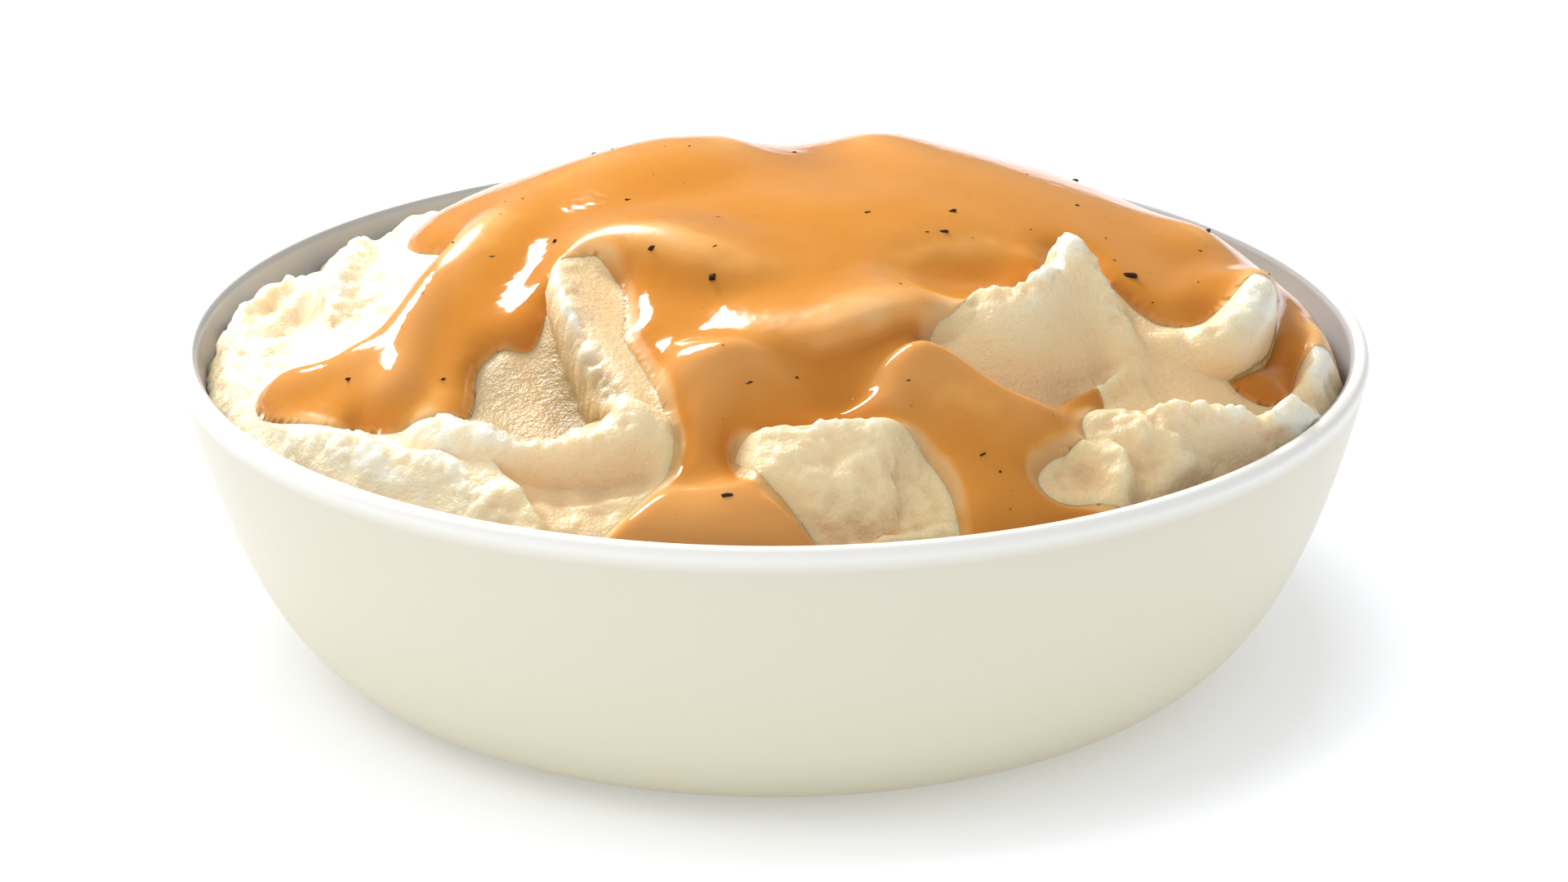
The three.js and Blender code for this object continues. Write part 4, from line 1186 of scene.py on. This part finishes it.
glaze, tree, shader = new_material(
    "ivory_glaze", (0.72, 0.69, 0.57), 0.32, IOR=1.5, Specular_IOR_Level=0.4)
place = tree.nodes.new("ShaderNodeTexCoord")
split = tree.nodes.new("ShaderNodeSeparateXYZ")
tree.links.new(place.outputs["Object"], split.inputs["Vector"])
part_way_up = add_range(tree, split.outputs["Z"], 0, GLAZE_TOP, 0, 1)
ivory = add_ramp(tree, part_way_up, IVORY_SHADE_AND_HIGHLIGHT)
coloured = add_mix(tree, read_attribute(tree, "shaded inner wall"), ivory, INNER_PAINTED_SHADE)
tree.links.new(coloured, shader.inputs["Base Color"])
bump = add_bump(tree, add_grain(tree, 220.0, 2.0, 1.0), 0.12, 0.0004)
tree.links.new(bump.outputs["Normal"], shader.inputs["Normal"])
bowl.data.materials.append(glaze)
print("glaze on", bowl.name)

# %% [markdown]
# Mash is pale, moist and slightly see-through: light goes in a millimetre or two and comes out yellower.
# That is subsurface scattering, with the longest reach for red. Its moisture is a thin coat. The grain is
# potato cells and fine lumps, under half a millimetre, as one bump on top of another.

# %% Mash: body and grain
mash_material, tree, shader = new_material(
    "creamy_mash", (0.86, 0.76, 0.56), 0.42, Subsurface_Weight=0.7, Subsurface_Radius=(1.0, 0.8, 0.5),
    Subsurface_Scale=0.002, Specular_IOR_Level=0.45, Coat_Weight=0.35, Coat_Roughness=0.18)
curds = add_bump(tree, add_grain(tree, 700.0, 3.0, 1.0), 0.45, 0.0005)
cells = add_bump(tree, add_grain(tree, 2300.0, 2.0, 1.0), 0.9, 0.00024)
tree.links.new(curds.outputs["Normal"], cells.inputs["Normal"])
tree.links.new(cells.outputs["Normal"], shader.inputs["Normal"])
mash.data.materials.append(mash_material)
print("mash body on", mash.name)

# %% [markdown]
# The colour goes with how hollow a place is: nearly white on the crests, which is painted light, cream on
# the slopes and a darker yellow in the creases, which is painted shade. Clouds of noise keep that from
# looking drawn. The left dishes get a painted shade as well, and the gravy's stain lies over it all.

# %% Mash: colour
# The near-white low end is painted light on the crests, and the dark high end is painted shade in the creases.
CREAM_LIGHT_AND_SHADE = (
    (0.02, (1.0, 0.93, 0.80)), (0.15, (1.0, 0.79, 0.525)),
    (0.5, (0.99, 0.705, 0.40)), (0.85, (0.76, 0.55, 0.31)))
# A painted shade multiplied over the left dishes.
DISH_PAINTED_SHADE = (0.66, 0.665, 0.60)
STAIN_COLOUR = (0.98, 0.72, 0.40)

clouds = add_grain(tree, 260.0, 3.0, 0.35)
uneven = add_math(tree, "ADD", read_attribute(tree, "hollow"), clouds)
cream = add_ramp(tree, add_math(tree, "SUBTRACT", uneven, 0.175), CREAM_LIGHT_AND_SHADE)
darker = add_mix(tree, read_attribute(tree, "dish_shade"), cream, DISH_PAINTED_SHADE, "MULTIPLY")
stained = add_mix(tree, read_attribute(tree, "stain"), darker, STAIN_COLOUR)
tree.links.new(stained, shader.inputs["Base Color"])
print("mash colour of", len(CREAM_LIGHT_AND_SHADE), "stops")

# %% [markdown]
# Gravy is glossy and cloudy at once. It scatters light as the mash does, over a shorter way, and faint
# ripples break up its glints. A thin film takes on the grain of what lies under it, so it is less glossy
# than a pool. The Alpha only cuts the sheet off at the line where its edge has faded to nothing.

# %% Gravy: body
gravy_material, tree, shader = new_material(
    "glossy_gravy", (0.78, 0.31, 0.04), 0.09, Subsurface_Weight=0.6,
    Subsurface_Radius=(1.0, 0.45, 0.15), Subsurface_Scale=0.0012)
thickness = read_attribute(tree, "thickness")
tree.links.new(add_range(tree, thickness, 0.5, 1.3, 0.34, 0.09), shader.inputs["Roughness"])
tree.links.new(read_attribute(tree, "cover"), shader.inputs["Alpha"])
ripples = add_bump(tree, add_grain(tree, 300.0, 2.0, 1.0), 0.25, 0.0004)
tree.links.new(ripples.outputs["Normal"], shader.inputs["Normal"])
gravy.data.materials.append(gravy_material)
print("gravy body on", gravy.name)

# %% [markdown]
# Its colour goes with its thickness, from a pale cream orange where it is a film to amber in the pools, and
# clouds of noise vary it. Bulges are painted paler, a painted sheen, and the valleys between them browner,
# a painted shade.

# %% Gravy: colour
AMBER = (
    (0, (0.80, 0.49, 0.21)), (0.08, (0.80, 0.39, 0.09)), (0.2, (0.70, 0.30, 0.055)),
    (0.5, (0.65, 0.265, 0.042)), (1, (0.66, 0.27, 0.045)))
BULGE_PAINTED_SHEEN = (0.86, 0.50, 0.21)
VALLEY_PAINTED_SHADE = (0.80, 0.68, 0.55)

clouds = add_grain(tree, 110.0, 2.0, 0.5)
uneven = add_math(tree, "ADD", add_range(tree, thickness, 0.15, 4.5, 0, 1), clouds)
coloured = add_ramp(tree, add_math(tree, "SUBTRACT", uneven, 0.25), AMBER)
valley = read_attribute(tree, "valley")
# Painted sheen on the bulges, then painted shade in the valleys.
coloured = add_mix(tree, add_range(tree, valley, 0.5, 0.1, 0, 0.4), coloured, BULGE_PAINTED_SHEEN)
coloured = add_mix(tree, add_range(tree, valley, 0.5, 0.9, 0, 1), coloured, VALLEY_PAINTED_SHADE, "MULTIPLY")
print("gravy colour of", len(AMBER), "stops")

# %% [markdown]
# The finest pepper is dust, too small to model. A Voronoi pattern gives cells with a dot in the middle of
# each, and a chance for each cell lets only one dot in five show.

# %% Gravy: specks
SPECK_COLOUR = (0.10, 0.045, 0.02)

place = tree.nodes.new("ShaderNodeTexCoord")
dust = tree.nodes.new("ShaderNodeTexVoronoi")
dust.inputs["Scale"].default_value = 420.0
tree.links.new(place.outputs["Object"], dust.inputs["Vector"])
chance = tree.nodes.new("ShaderNodeSeparateColor")
tree.links.new(dust.outputs["Color"], chance.inputs["Color"])
dots = add_range(tree, dust.outputs["Distance"], 0.03, 0.08, 0.6, 0)
few_dots = add_math(tree, "MULTIPLY", dots, add_math(tree, "GREATER_THAN", chance.outputs["Red"], 0.8))
tree.links.new(add_mix(tree, few_dots, coloured, SPECK_COLOUR), shader.inputs["Base Color"])
print("gravy material of", len(tree.nodes), "nodes")

# %% [markdown]
# Cracked pepper is nearly black, dry and dull, so it has hardly any highlight.

# %% Pepper
pepper_material, tree, shader = new_material(
    "dark_pepper", (0.04, 0.022, 0.012), 0.8, Specular_IOR_Level=0.2)
pepper.data.materials.append(pepper_material)
print("pepper material on", pepper.name)

# %% [markdown]
# ## Studio
# The floor is plain and nearly white. It shines a little itself, so that it doesn't go grey where the bowl
# keeps the light off.

# %% Floor
deselect_all()
bpy.ops.mesh.primitive_plane_add(size=6)
floor = bpy.context.object
floor.name = "floor"
floor_material, tree, shader = new_material(
    "white_floor", (0.90, 0.93, 1.0), 0.9, Specular_IOR_Level=0.0,
    Emission_Color=(1, 1, 1, 1), Emission_Strength=0.265)
floor.data.materials.append(floor_material)
floor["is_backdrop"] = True
print("floor under the bowl")

# %% [markdown]
# A wide white room gives even light from everywhere, most from above. If gravy mirrored such a room, its
# colour would look washed out, so glossy rays see a room that is dimmer and warmer, and dimmest overhead.

# %% Room
room = bpy.data.worlds.new("white_room")
bpy.context.scene.world = room
room.use_nodes = True
tree = room.node_tree
direction = tree.nodes.new("ShaderNodeTexCoord")
split = tree.nodes.new("ShaderNodeSeparateXYZ")
tree.links.new(direction.outputs["Generated"], split.inputs["Vector"])
upwards = split.outputs["Z"]
walls = tree.nodes["Background"]
walls.inputs["Color"].default_value = (1, 1, 1, 1)
tree.links.new(add_range(tree, upwards, 0, 1, 0.38, 0.66), walls.inputs["Strength"])
mirrored = tree.nodes.new("ShaderNodeBackground")
mirrored.inputs["Color"].default_value = (1, 0.92, 0.8, 1)
tree.links.new(add_range(tree, upwards, 0.34, 0.52, 0.32, 0.12), mirrored.inputs["Strength"])
ray = tree.nodes.new("ShaderNodeLightPath")
either = tree.nodes.new("ShaderNodeMixShader")
tree.links.new(ray.outputs["Is Glossy Ray"], either.inputs["Fac"])
tree.links.new(walls.outputs["Background"], either.inputs[1])
tree.links.new(mirrored.outputs["Background"], either.inputs[2])
tree.links.new(either.outputs["Shader"], tree.nodes["World Output"].inputs["Surface"])
bpy.context.scene.view_settings.view_transform = "Standard"
print("room:", room.name)

# %% [markdown]
# One rectangular softbox stands behind on the left. It brightens that side of the heap and makes the white
# glints on the gravy. It leaves out the floor, where it would throw a long shadow. Two weak ones, above and
# on the left, lift the shadows and aren't mirrored. The last one, straight above, lights only the floor, and
# its shadow is the soft dark band round the bowl's foot.

# %% Softboxes
def add_softbox(name, place, width, height, power, colour=(1, 1, 1)):
    bpy.ops.object.light_add(type="AREA", location=place)
    light = bpy.context.object
    light.name = name
    light.data.shape = "RECTANGLE"
    light.data.size = width
    light.data.size_y = height
    light.data.energy = power
    light.data.color = colour
    light.rotation_euler = (Vector((0, 0, 0.04)) - Vector(place)).to_track_quat("-Z", "Y").to_euler()
    return light


softbox = add_softbox("softbox", (-0.43, 0.68, 0.62), 0.36, 0.28, 13.0, (1, 0.985, 0.95))
not_the_floor = bpy.data.collections.new("not_the_floor")
not_the_floor.objects.link(floor)
not_the_floor.collection_objects[0].light_linking.link_state = "EXCLUDE"
softbox.light_linking.receiver_collection = not_the_floor
above = add_softbox("light_above", (-0.12, 0.02, 0.9), 0.5, 0.5, 0.9)
left_fill = add_softbox("left_fill", (-0.5, -0.28, 0.74), 0.5, 0.5, 2.0, (1, 0.97, 0.91))
for light in (above, left_fill):
    light.data.specular_factor = 0.0
    light.visible_glossy = False
floor_light = add_softbox("floor_light", (0, 0, 1.0), 0.4, 0.4, 2.5)
only_the_floor = bpy.data.collections.new("only_the_floor")
only_the_floor.objects.link(floor)
floor_light.light_linking.receiver_collection = only_the_floor
print("four softboxes")

# %% [markdown]
# ## Replace the imported nodes
# Each piece stands in for an imported node, which is hidden, and rides with the one body.

# %% Replace, ride, measure and finish
for piece, node in ((bowl, "bowl"), (mash, "mash"), (gravy, "gravy"), (pepper, "gravy")):
    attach(piece, "root")
    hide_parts(node)

size = {"cad": [list(corner) for corner in packed_box], "visual": [list(corner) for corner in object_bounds()]}
print(size)
